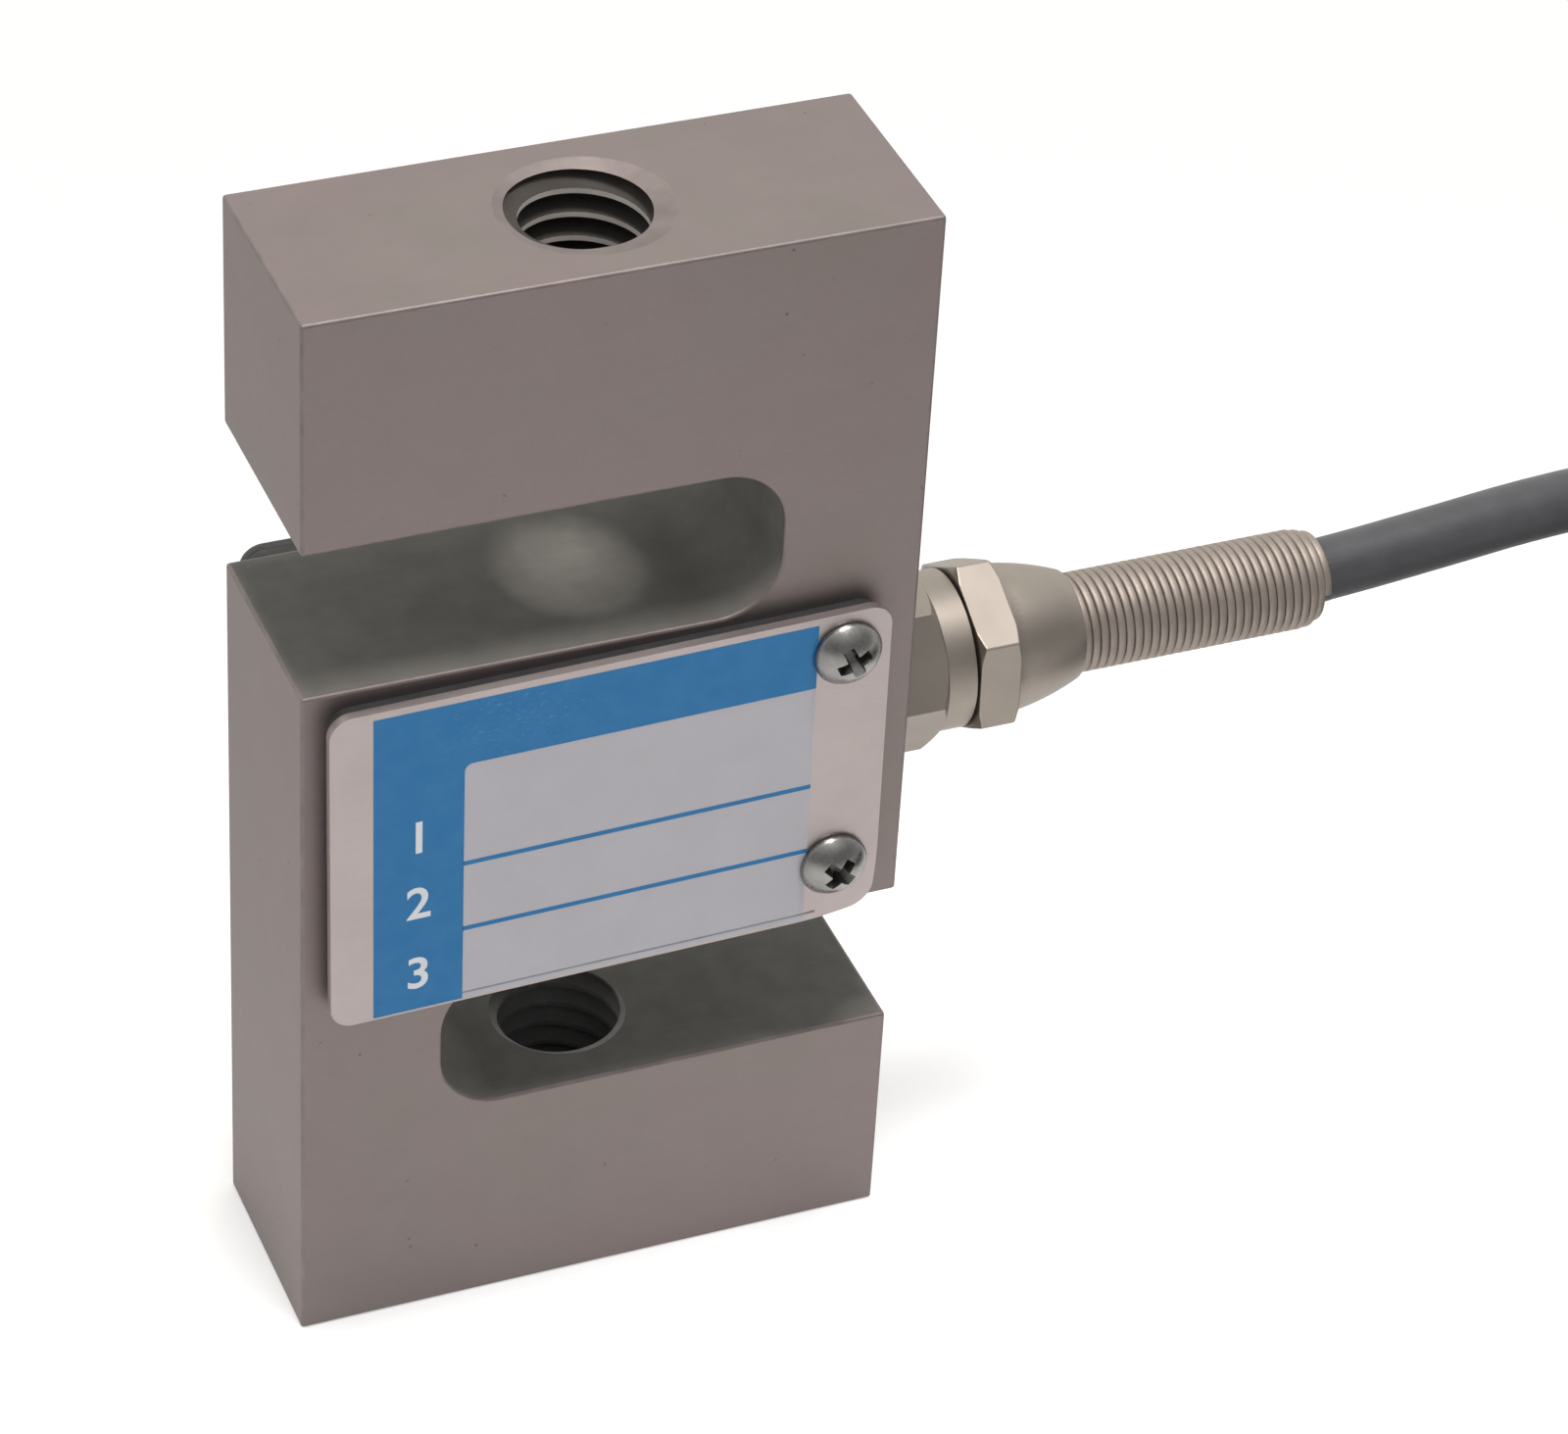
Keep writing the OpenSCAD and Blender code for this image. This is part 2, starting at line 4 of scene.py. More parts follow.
import bmesh
import bpy
from mathutils import Matrix, Vector


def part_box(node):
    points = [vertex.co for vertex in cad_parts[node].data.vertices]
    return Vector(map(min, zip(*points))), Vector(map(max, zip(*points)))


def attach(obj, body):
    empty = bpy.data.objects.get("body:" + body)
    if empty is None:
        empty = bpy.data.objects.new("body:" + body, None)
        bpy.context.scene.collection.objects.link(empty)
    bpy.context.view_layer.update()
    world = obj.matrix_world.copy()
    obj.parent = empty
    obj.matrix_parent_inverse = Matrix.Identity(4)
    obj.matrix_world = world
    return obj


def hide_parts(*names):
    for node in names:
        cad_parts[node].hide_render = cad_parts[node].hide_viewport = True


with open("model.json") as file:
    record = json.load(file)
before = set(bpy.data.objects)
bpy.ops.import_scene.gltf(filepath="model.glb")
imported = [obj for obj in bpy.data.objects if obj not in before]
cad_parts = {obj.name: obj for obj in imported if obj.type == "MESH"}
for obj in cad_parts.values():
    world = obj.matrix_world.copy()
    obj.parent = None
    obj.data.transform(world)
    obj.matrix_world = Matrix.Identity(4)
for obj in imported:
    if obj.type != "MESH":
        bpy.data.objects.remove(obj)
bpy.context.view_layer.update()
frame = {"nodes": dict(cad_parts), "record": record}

MM = 0.001


def box(node):
    """Lowest corner, highest corner and middle of a CAD node, in metres."""
    low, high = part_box(node)
    return low, high, (low + high) / 2


BODY_LOW, BODY_HIGH, BODY_MID = box("sensing_body")
PLATE_LOW, PLATE_HIGH, PLATE_MID = box("front_cover")


# ---------------------------------------------------------------- camera


def add_camera():
    """A long lens above and to the left of the front, turned a little about its own axis."""
    azimuth, elevation, roll = (math.radians(a) for a in (-23.93, 36.70, 3.54))
    aim = Vector((18.77, 0, 45.86)) * MM
    distance = 464.4 * MM
    flat = math.cos(elevation)
    back = Vector((math.sin(azimuth) * flat, -math.cos(azimuth) * flat, math.sin(elevation)))
    right = Vector((math.cos(azimuth), math.sin(azimuth), 0))
    up = back.cross(right)
    turned_right = math.cos(roll) * right + math.sin(roll) * up
    turned_up = math.cos(roll) * up - math.sin(roll) * right
    data = bpy.data.cameras.new("camera")
    data.sensor_width = 36
    data.lens = 131.24
    data.clip_start, data.clip_end = 0.02, 50
    camera = bpy.data.objects.new("camera", data)
    camera.matrix_world = Matrix((turned_right, turned_up, back)).transposed().to_4x4()
    camera.location = aim + distance * back
    bpy.context.scene.collection.objects.link(camera)
    bpy.context.scene.camera = camera


add_camera()


# ---------------------------------------------------------------- cable

CABLE_D = 5.4 * MM
GLAND_Z = box("strain_relief_spring")[2].z

# The cable bends up in an arc near the spring's end and leaves it at a small angle
LIFT = math.radians(4.8)
LIFT_L, STRAIGHT_L = 7 * MM, 1.4 * MM
EXIT_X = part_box("cable_entry")[1].x - CABLE_D / 2 * math.sin(LIFT)
LIFT_X = EXIT_X - STRAIGHT_L - LIFT_L

# The route's points in millimetres, as the solids have them
CABLE_ROUTE = [
    (78, 0.1, 51.1), (86, 0.5, 51.6), (94, 1.3, 51.2), (102.5, 2.5, 49.2), (111, 3.9, 46),
    (120, 5.2, 41.7), (130, 5.8, 36.7), (139.7, 4.8, 32.4), (149, 1.8, 28.9), (157.5, -3.1, 26.2),
    (164.8, -9.7, 24.2), (170.5, -17.6, 22.8), (174.4, -26.5, 21.9), (176.2, -36.1, 21.4),
]
TAIL_ROUTE = [
    (153.4, -81.5, 2.8), (147.9, -84.2, 2.8), (142.1, -86.2, 2.8), (136.1, -87.4, 2.8),
    (130, -87.8, 2.8), (120, -88, 2.8), (110, -88, 3), (102, -88, 3.2), (94, -88, 3.2),
]

# The coil's middle, its lanes' radii and its rows' heights
COIL_AT = (130, -41)
LANES = [24.25, 29.75, 35.25, 40.75]
ROWS = [3.9, 9.35, 14.8, 20.25]


def eased(t):
    """0 before t is 0, 1 after t is 1, and a smooth change between them."""
    t = min(max(t, 0), 1)
    return t * t * (3 - 2 * t)


def axis_z(x):
    """Height of the cable's axis at x, from the gland to just past the spring."""
    radius = LIFT_L / math.sin(LIFT)
    along = min(max(x - LIFT_X, 0), LIFT_L)
    beyond = max(x - LIFT_X - LIFT_L, 0)
    return GLAND_Z + radius - math.sqrt(radius**2 - along**2) + beyond * math.tan(LIFT)


EXIT = Vector((EXIT_X, 0, axis_z(EXIT_X)))


def coil_points():
    """Turns wound in from outside at the top, out and in through two rows, and out at the bottom.

    Each change of lane or row takes a quarter turn. The four kinds of change follow each other round
    the coil, so that a strand has moved aside before the next one takes its place.
    """
    lanes_in, lanes_out = [3, 2, 1, 0], [0, 1, 2, 3]
    stops = [(lane, 3) for lane in lanes_in[1:]] + [(lane, 2) for lane in lanes_out]
    stops += [(lane, 1) for lane in lanes_in] + [(lane, 0) for lane in lanes_out]
    outward_at, inner_drop_at, inward_at, outer_drop_at = 66, 156, 246, 336
    quarter, full = 90, 360
    # Radius and height at which the cable joins the coil and leaves it, and the angles that this takes
    joins_at, joins_high, leaves_at, leaves_low = 46.3, 21.4, 46.8, 2.8
    ramp_in, ramp_out = 120, 80

    changes = []
    travel = 0
    for here, there in zip(stops, stops[1:]):
        if here[1] != there[1]:
            at = inner_drop_at if here[0] == 0 else outer_drop_at
        else:
            at = outward_at if there[0] > here[0] else inward_at
        while at < travel:
            at += full
        changes.append((at, here, there))
        travel = at + quarter
    end = travel + 3 * quarter

    start_angle, step = 6, 10
    points = []
    for i in range(1, int(end / step) + 1):
        travel = i * step
        lane, row = stops[0]
        radius, height = LANES[lane], ROWS[row]
        for at, here, there in changes:
            done = eased((travel - at) / quarter)
            radius += done * (LANES[there[0]] - LANES[here[0]])
            height += done * (ROWS[there[1]] - ROWS[here[1]])
        before = 1 - eased(travel / ramp_in)
        after = eased((travel - end + ramp_out) / ramp_out)
        radius += before * (joins_at - LANES[lane]) + after * (leaves_at - radius)
        height += before * (joins_high - ROWS[row]) + after * (leaves_low - height)
        angle = math.radians(start_angle - travel)
        points.append((COIL_AT[0] + radius * math.cos(angle), COIL_AT[1] + radius * math.sin(angle), height))
    return points[:-1]


def smooth_line(points, step):
    """Points about a step apart on the Catmull-Rom curve through the given ones."""
    padded = [2 * points[0] - points[1], *points, 2 * points[-1] - points[-2]]
    line = []
    for a, b, c, d in zip(padded, padded[1:], padded[2:], padded[3:]):
        count = max(1, round((c - b).length / step))
        for i in range(count):
            t = i / count
            line.append(0.5 * (2 * b + t * (c - a) + t**2 * (2 * a - 5 * b + 4 * c - d)
                               + t**3 * (3 * b - a - 3 * c + d)))
    line.append(points[-1])
    return line


def add_cable():
    """The free cable from the spring's end through the coil to its cut end, as one round curve."""
    after_exit = EXIT_X + 4 * MM
    straight = [EXIT, Vector((after_exit, 0, axis_z(after_exit)))]
    points = straight + [Vector(p) * MM for p in CABLE_ROUTE + coil_points() + TAIL_ROUTE]
    line = smooth_line(points, step=2 * MM)
    curve = bpy.data.curves.new("cable_run", "CURVE")
    curve.dimensions = "3D"
    # With a depth of 1, the radius of each point is the cable's own
    curve.bevel_depth = 1
    curve.bevel_resolution = 7
    curve.use_fill_caps = True
    spline = curve.splines.new("POLY")
    spline.points.add(len(line) - 1)
    for point, spot in zip(spline.points, line):
        point.co = (*spot, 1)
        point.radius = CABLE_D / 2
    spline.use_smooth = True
    cable = bpy.data.objects.new("cable_run", curve)
    bpy.context.scene.collection.objects.link(cable)
    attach(cable, "root")
    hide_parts("cable", "cable_coil", "cable_tail")
    return cable


# ---------------------------------------------------------------- materials


def shader(name):
    """A new node material with its Principled shader."""
    material = bpy.data.materials.new(name)
    material.use_nodes = True
    return material, material.node_tree, material.node_tree.nodes["Principled BSDF"]


def put(tree, kind, settings=None, **inputs):
    """Adds a node. Each input is a value, or another node's output to link. i0 is the first input."""
    node = tree.nodes.new(kind)
    for key, value in (settings or {}).items():
        setattr(node, key, value)
    for key, value in inputs.items():
        socket = node.inputs[int(key[1:])] if key[0] == "i" and key[1:].isdigit() else node.inputs[key]
        if isinstance(value, bpy.types.NodeSocket):
            tree.links.new(value, socket)
        else:
            socket.default_value = value
    return node


def place(tree, factors=(1, 1, 1)):
    """The surface's place in millimetres, in the shared frame, times a factor for each axis."""
    coords = put(tree, "ShaderNodeTexCoord")
    scale = tuple(factor / MM for factor in factors)
    return put(tree, "ShaderNodeVectorMath", {"operation": "MULTIPLY"},
               i0=coords.outputs["Object"], i1=scale).outputs["Vector"]


def noise(tree, vector, scale, detail=3, roughness=0.55):
    """Fractal noise from 0 to 1."""
    return put(tree, "ShaderNodeTexNoise", Vector=vector, Scale=scale, Detail=detail,
               Roughness=roughness).outputs["Fac"]


def spread(tree, value, low, high, start=0.3, stop=0.7):
    """Maps values from start to stop onto low to high, and holds them at the ends.

    Most of a noise lies between the default start and stop.
    """
    found = put(tree, "ShaderNodeMapRange", Value=value)
    for key, number in (("From Min", start), ("From Max", stop), ("To Min", low), ("To Max", high)):
        found.inputs[key].default_value = number
    return found.outputs["Result"]


def blend_colours(tree, factor, first, second):
    """The first colour where the factor is 0 and the second where it is 1."""
    mix = put(tree, "ShaderNodeMix", {"data_type": "RGBA"})
    for index, value in ((0, factor), (6, first), (7, second)):
        if isinstance(value, bpy.types.NodeSocket):
            tree.links.new(value, mix.inputs[index])
        else:
            mix.inputs[index].default_value = value
    return mix.outputs[2]


def shade(colour, factor):
    """A colour times a factor, with its alpha."""
    return (*(min(1, c * factor) for c in colour), 1)


def sum_of(tree, first, second, share):
    """first + share * second"""
    return put(tree, "ShaderNodeMath", {"operation": "MULTIPLY_ADD"},
               i0=second, i1=share, i2=first).outputs[0]


def finish(name, colour, roughness, mottle, grain, metallic=0.0, streaks=None, rough_spread=0.06,
           specular=0.5, coat=0.0, sheen=0.0):
    """A procedural finish: two scales of colour drift, a fine grain as bump, and brush lines if asked.

    mottle is the drift's scale per millimetre and its strength, grain the bump's scale and height in
    millimetres, and streaks the lines' factors for place, strength in colour and height in millimetres.
    """
    material, tree, surface = shader(name)
    here = place(tree)
    drift_scale, drift = mottle
    grain_scale, grain_high = grain
    fine_share, middle_band = 0.35, 0.22
    fine = noise(tree, here, grain_scale, detail=5, roughness=0.6)
    height = fine
    tone = sum_of(tree, noise(tree, here, drift_scale), fine, fine_share)
    # The middle of the tone's range, as each noise lies round a half
    middle = (1 + fine_share) / 2
    if streaks:
        factors, streak_share, streak_high = streaks
        lines = noise(tree, place(tree, factors), 1.0, detail=4, roughness=0.65)
        height = sum_of(tree, fine, lines, streak_high / grain_high)
        tone = sum_of(tree, tone, lines, streak_share)
        middle += streak_share / 2
    factor = spread(tree, tone, 0, 1, start=middle - middle_band, stop=middle + middle_band)
    base = blend_colours(tree, factor, shade(colour, 1 - drift), shade(colour, 1 + drift))
    tree.links.new(base, surface.inputs["Base Color"])
    tree.links.new(spread(tree, fine, roughness - rough_spread, roughness + rough_spread),
                   surface.inputs["Roughness"])
    bump = put(tree, "ShaderNodeBump", Height=height, Strength=1.0, Distance=grain_high * MM)
    tree.links.new(bump.outputs["Normal"], surface.inputs["Normal"])
    surface.inputs["Metallic"].default_value = metallic
    surface.inputs["Specular IOR Level"].default_value = specular
    surface.inputs["Coat Weight"].default_value = coat
    surface.inputs["Coat Roughness"].default_value = 0.25
    surface.inputs["Sheen Weight"].default_value = sheen
    return material


def satin_nickel(name, colour, roughness, drift):
    """Ground and nickel-plated steel: warm and cool patches, brush lines along the width, small pits.

    drift is the strength of the patches and lines in the colour.
    """
    material, tree, surface = shader(name)
    here = place(tree)
    along_width, patch_shape = (0.25, 7, 7), (0.8, 1, 1)
    lines = noise(tree, place(tree, along_width), 1.0, detail=5, roughness=0.7)
    fine = noise(tree, here, 9, detail=4, roughness=0.6)
    broad = noise(tree, here, 0.07, detail=3, roughness=0.5)
    patches = noise(tree, place(tree, patch_shape), 0.22, detail=4, roughness=0.6)
    to_nearest = put(tree, "ShaderNodeTexVoronoi", Vector=here, Scale=0.42).outputs["Distance"]
    pits = spread(tree, to_nearest, 1, 0, start=0.035, stop=0.075)
    few = spread(tree, noise(tree, here, 0.3, detail=1), 0, 1, start=0.52, stop=0.6)
    pits = put(tree, "ShaderNodeMath", {"operation": "MULTIPLY"}, i0=pits, i1=few).outputs[0]
    line_share, fine_share, pit_share, pit_depth = 0.55, 0.25, 0.55, 4.0
    tone = sum_of(tree, sum_of(tree, patches, lines, line_share), fine, fine_share)
    factor = spread(tree, tone, 0, 1, start=0.6, stop=1.2)
    base = blend_colours(tree, factor, shade(colour, 1 - drift), shade(colour, 1 + drift))
    warm = (colour[0] * 1.05, colour[1] * 0.99, colour[2] * 1.02)
    cool = (colour[0] * 0.97, colour[1] * 1.0, colour[2] * 0.96)
    warmth = spread(tree, broad, 0, 1, start=0.38, stop=0.62)
    tint = blend_colours(tree, warmth, shade(cool, 1), shade(warm, 1))
    base = blend_colours(tree, 0.5, base, tint)
    base = blend_colours(tree, sum_of(tree, 0.0, pits, pit_share), base, shade(colour, 0.35))
    tree.links.new(base, surface.inputs["Base Color"])
    rough = sum_of(tree, spread(tree, fine, roughness - 0.05, roughness + 0.05), patches, 0.06)
    tree.links.new(rough, surface.inputs["Roughness"])
    height = sum_of(tree, sum_of(tree, lines, fine, 0.5), pits, -pit_depth)
    bump = put(tree, "ShaderNodeBump", Height=height, Strength=1.0, Distance=0.006 * MM)
    tree.links.new(bump.outputs["Normal"], surface.inputs["Normal"])
    surface.inputs["Metallic"].default_value = 1.0
    return material


NICKEL = (0.229, 0.196, 0.19)
# The slots' walls have a darker colour than the outer sides: partly a matte sawn surface, partly painted
# shade
SLOT_NICKEL_PAINTED_SHADE = (0.13, 0.124, 0.114)
BRIGHT_NICKEL = (0.3, 0.267, 0.236)
SPRING_WIRE = (0.318, 0.276, 0.247)
ZINC = (0.26, 0.254, 0.245)
ALUMINIUM = (0.37, 0.325, 0.318)
JACKET = (0.045, 0.045, 0.051)

body_finish = satin_nickel("nickel_satin", NICKEL, roughness=0.55, drift=0.10)
edge_finish = finish("nickel_worn_edge", NICKEL, roughness=0.6, metallic=1.0, mottle=(0.4, 0.12),
                     grain=(8, 0.003))
# Painted shade: the slots' walls are darker than the outer sides, on top of their matte sawn surface
sawn_slot_painted_shade = finish("nickel_sawn_slot_painted_shade", SLOT_NICKEL_PAINTED_SHADE, roughness=0.7, mottle=(0.3, 0.12),
                     grain=(5, 0.008), streaks=((0.3, 3, 6), 0.3, 0.006), specular=0.3)
# The threads' metal in lit and shaded copies: painted shade in the upper grooves, a painted highlight on the
# upper crests, and painted shade on all the lower thread's walls
groove_painted_shade = finish("thread_groove_painted_shade", (0.05, 0.044, 0.039), roughness=0.6, mottle=(0.5, 0.15),
                       grain=(6, 0.003), specular=0.15)
crest_painted_highlight = finish("thread_crest_painted_highlight", (0.75, 0.69, 0.65), roughness=0.5, mottle=(0.5, 0.1),
                      grain=(6, 0.003))
lower_thread_painted_shade = finish("thread_painted_shade", (0.2, 0.195, 0.195), roughness=0.6, mottle=(0.5, 0.1),
                       grain=(6, 0.003), specular=0.3)
gland_finish = finish("gland_nickel", BRIGHT_NICKEL, roughness=0.48, metallic=1.0, mottle=(0.25, 0.06),
                      grain=(7, 0.001), streaks=((9, 0.5, 0.5), 0.25, 0.001), rough_spread=0.03)
spring_finish = finish("spring_wire_nickel", SPRING_WIRE, roughness=0.6, metallic=1.0,
                       mottle=(0.5, 0.1), grain=(6, 0.002))
screw_finish = finish("screw_zinc", ZINC, roughness=0.3, metallic=1.0, mottle=(0.8, 0.14),
                      grain=(4, 0.004))
# Painted shade: the cross recess has a darker colour than the zinc head round it
recess_painted_shade = finish("screw_recess_painted_shade", (0.12, 0.115, 0.11), roughness=0.5, metallic=1.0,
                       mottle=(1.0, 0.25), grain=(5, 0.01))
plate_finish = finish("plate_aluminium", ALUMINIUM, roughness=0.45, metallic=0.9, mottle=(0.15, 0.05),
                      grain=(7, 0.0015), streaks=((0.3, 6, 10), 0.6, 0.002))
black_plate_finish = finish("plate_black", (0.022, 0.022, 0.024), roughness=0.5, mottle=(0.2, 0.2),
                            grain=(5, 0.006))
rubber_finish = finish("rubber_black", (0.02, 0.02, 0.021), roughness=0.62, mottle=(0.6, 0.25),
                       grain=(4, 0.02), sheen=0.1)
brass_finish = finish("ring_brass", (0.62, 0.44, 0.17), roughness=0.34, metallic=1.0, mottle=(0.5, 0.1),
                      grain=(6, 0.003))
tinned_finish = finish("tinned_metal", (0.6, 0.59, 0.56), roughness=0.34, metallic=1.0,
                       mottle=(1.2, 0.12), grain=(5, 0.006))
gauge_finish = finish("gauge_amber_film", (0.62, 0.3, 0.06), roughness=0.35, metallic=0.2,
                      mottle=(0.8, 0.15), grain=(6, 0.004), streaks=((12, 0.5, 0.5), 0.8, 0.01),
                      coat=0.4)
board_finish = finish("board_green", (0.03, 0.16, 0.05), roughness=0.4, mottle=(0.5, 0.15),
                      grain=(5, 0.01), streaks=((4, 4, 0.5), 0.4, 0.01), coat=0.5)
resistor_finish = finish("resistor_black", (0.02, 0.02, 0.022), roughness=0.55, mottle=(1.5, 0.3),
                         grain=(5, 0.01))
copper_finish = finish("enamel_copper", (0.55, 0.16, 0.05), roughness=0.3, metallic=0.8,
                       mottle=(0.9, 0.12), grain=(6, 0.004), coat=0.6)
tie_finish = finish("tie_black_nylon", (0.022, 0.022, 0.024), roughness=0.42, mottle=(0.5, 0.2),
                    grain=(3, 0.01))
sleeve_finish = finish("sleeve_black", (0.018, 0.018, 0.018), roughness=0.5, mottle=(0.4, 0.25),
                       grain=(2, 0.03))
jacket_finish = finish("cable_jacket", JACKET, roughness=0.6, mottle=(0.35, 0.16), grain=(3, 0.02),
                       streaks=((0.2, 2, 2), 0.25, 0.01), rough_spread=0.08, specular=0.45, sheen=0.15)
ink_white = finish("ink_white", (0.455, 0.447, 0.485), roughness=0.42, mottle=(0.3, 0.03),
                   grain=(5, 0.002))
ink_digits = finish("ink_pale_digits", (0.72, 0.74, 0.78), roughness=0.42, mottle=(0.6, 0.04),
                    grain=(5, 0.002))
ink_grey = finish("ink_grey_line", (0.2, 0.22, 0.25), roughness=0.45, mottle=(0.8, 0.15),
                  grain=(5, 0.002))
core_finishes = {
    name: finish("core_" + name, colour, roughness=0.32, mottle=(0.5, 0.1), grain=(3, 0.01), coat=0.3)
    for name, colour in {
        "red": (0.5, 0.02, 0.02), "black": (0.015, 0.015, 0.016),
        "green": (0.02, 0.24, 0.06), "white": (0.72, 0.71, 0.68),
    }.items()
}


def blue_ink():
    """Printed blue with a patch of pale scuffs on its upper band."""
    material, tree, surface = shader("ink_blue")
    here = place(tree)
    blue, faded, bare = (0.012, 0.159, 0.39, 1), (0.024, 0.18, 0.415, 1), (0.30, 0.37, 0.47, 1)
    base = blend_colours(tree, spread(tree, noise(tree, here, 0.5), 0, 1), blue, faded)
    scuff_factors = (1.1, 1, 2.6)
    scuffs = noise(tree, place(tree, scuff_factors), 1.3, detail=6, roughness=0.75)
    rubbed = spread(tree, scuffs, 0, 1, start=0.56, stop=0.72)
    patch_middle, patch_squeeze = (-8.5, 0, 60.2), (0.16, 0, 0.3)
    offset = put(tree, "ShaderNodeVectorMath", {"operation": "SUBTRACT"}, i0=here, i1=patch_middle)
    squeezed = put(tree, "ShaderNodeVectorMath", {"operation": "MULTIPLY"}, i0=offset.outputs[0],
                   i1=patch_squeeze)
    away = put(tree, "ShaderNodeVectorMath", {"operation": "LENGTH"}, i0=squeezed.outputs[0])
    near = spread(tree, away.outputs["Value"], 0.75, 0.03, start=0.2, stop=1.3)
    worn = put(tree, "ShaderNodeMath", {"operation": "MULTIPLY"}, i0=rubbed, i1=near).outputs[0]
    tree.links.new(blend_colours(tree, worn, base, bare), surface.inputs["Base Color"])
    fine = noise(tree, here, 5)
    tree.links.new(spread(tree, fine, 0.34, 0.46), surface.inputs["Roughness"])
    bump = put(tree, "ShaderNodeBump", Height=worn, Strength=0.6, Distance=-0.004 * MM)
    tree.links.new(bump.outputs["Normal"], surface.inputs["Normal"])
    surface.inputs["Specular IOR Level"].default_value = 0.25
    return material


ink_blue = blue_ink()

NODE_FINISHES = {
    "rear_gasket": rubber_finish, "rear_cover": black_plate_finish,
    "strain_gauges": gauge_finish, "terminal_board": board_finish, "solder_pads": tinned_finish,
    "bridge_resistors": resistor_finish, "gauge_wires": copper_finish,
    "lead_red": core_finishes["red"], "lead_black": core_finishes["black"],
    "lead_green": core_finishes["green"], "lead_white": core_finishes["white"],
    "gland_body": gland_finish, "gland_nut": gland_finish, "gland_o_ring": rubber_finish,
    "sealing_bush": rubber_finish, "clamp_ring": brass_finish, "cable_entry": jacket_finish,
    "cable_ties": tie_finish, "end_sleeve": sleeve_finish,
    "core_red": core_finishes["red"], "core_black": core_finishes["black"],
    "core_green": core_finishes["green"], "core_white": core_finishes["white"],
    "bare_tips": tinned_finish, "shield_drain": tinned_finish,
}


# ---------------------------------------------------------------- mesh helpers

# CAD points this close are one, and CAD faces that meet at less than this angle are one flat face
WELD, FLAT = 0.002 * MM, math.radians(0.5)


def add_piece(name, mesh, materials, replaced=()):
    """A new piece of the object, with its finish and the CAD nodes that it stands for."""
    piece = bpy.data.objects.new(name, mesh)
    bpy.context.scene.collection.objects.link(piece)
    for material in materials:
        mesh.materials.append(material)
    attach(piece, "root")
    if replaced:
        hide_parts(*replaced)
    return piece


def shade_smooth(mesh, angle):
    """Smooth shading where faces meet at less than the angle in degrees, and sharp edges elsewhere."""
    mesh.polygons.foreach_set("use_smooth", [True] * len(mesh.polygons))
    mesh.set_sharp_from_angle(angle=math.radians(angle))


def mesh_from(bm, name, smooth_angle=30):
    """A mesh from bm, with its faces turned outward and its shading set. bm is freed."""
    bmesh.ops.recalc_face_normals(bm, faces=bm.faces)
    mesh = bpy.data.meshes.new(name)
    bm.to_mesh(mesh)
    bm.free()
    shade_smooth(mesh, smooth_angle)
    return mesh


def node_copy(node):
    """A welded copy of a CAD node's mesh, with its flat faces whole again."""
    bm = bmesh.new()
    bm.from_mesh(frame["nodes"][node].data)
    bmesh.ops.remove_doubles(bm, verts=bm.verts, dist=WELD)
    bmesh.ops.dissolve_limit(bm, angle_limit=FLAT, verts=bm.verts, edges=bm.edges)
    bmesh.ops.recalc_face_normals(bm, faces=bm.faces)
    return bm


def tube_rings(bm, rings):
    """A closed tube over a row of rings with equal point counts, with a flat face at each end."""
    made = [[bm.verts.new(p) for p in ring] for ring in rings]
    for first, second in zip(made, made[1:]):
        for k in range(len(first)):
            after = (k + 1) % len(first)
            bm.faces.new((first[k], first[after], second[after], second[k]))
    bm.faces.new(list(reversed(made[0])))
    bm.faces.new(made[-1])


def cut_out(mesh, cutter, name):
    """A new mesh: the first one less the cutter."""
    solid = bpy.data.objects.new("cut_solid", mesh)
    tool = bpy.data.objects.new("cut_tool", cutter)
    for piece in (solid, tool):
        bpy.context.scene.collection.objects.link(piece)
    modifier = solid.modifiers.new("cut", "BOOLEAN")
    modifier.operation = "DIFFERENCE"
    modifier.solver = "EXACT"
    modifier.object = tool
    depsgraph = bpy.context.evaluated_depsgraph_get()
    result = bpy.data.meshes.new_from_object(solid.evaluated_get(depsgraph))
    result.name = name
    bpy.data.objects.remove(solid)
    bpy.data.objects.remove(tool)
    return result


def weight_normals(piece):
    """Keeps a piece's flat faces flat in shading beside its rounded edges."""
    weighted = piece.modifiers.new("weighted", "WEIGHTED_NORMAL")
    weighted.keep_sharp = True


def soften(piece, width):
    """Rounds a piece's edges where its faces meet at more than 35 degrees."""
    weld = piece.modifiers.new("weld", "WELD")
    weld.merge_threshold = WELD
    flat = piece.modifiers.new("flat", "DECIMATE")
    flat.decimate_type = "DISSOLVE"
    flat.angle_limit = FLAT
    bevel = piece.modifiers.new("bevel", "BEVEL")
    bevel.width = width
    bevel.segments = 2
    bevel.limit_method = "ANGLE"
    bevel.angle_limit = math.radians(35)
    bevel.use_clamp_overlap = True
    weight_normals(piece)


# ---------------------------------------------------------------- sensing body

# The mounts are M12 x 1.75 in bores of BORE_R. The drawn thread follows the photo, so it is deeper, and
# its pitch is theirs times 1.2, as the photo seems stretched upright by that.
THREAD_D = 12 * MM
BORE_R = 5.125 * MM
THREAD_PITCH = 2.1 * MM
ROOT_R = THREAD_D / 2 + 0.2 * MM

# At the back of a hole, the groove's middle is this far below the block's top
GROOVE_DOWN = 0.75 * MM

# The solids' countersinks have this radius. Here each becomes a shallow dish, as in the photo.
MOUTH_R = 7 * MM
DISH = 0.56 * MM

EDGE_ROUND, MOUTH_ROUND = 0.28 * MM, 0.06 * MM
NEAR = 0.01 * MM

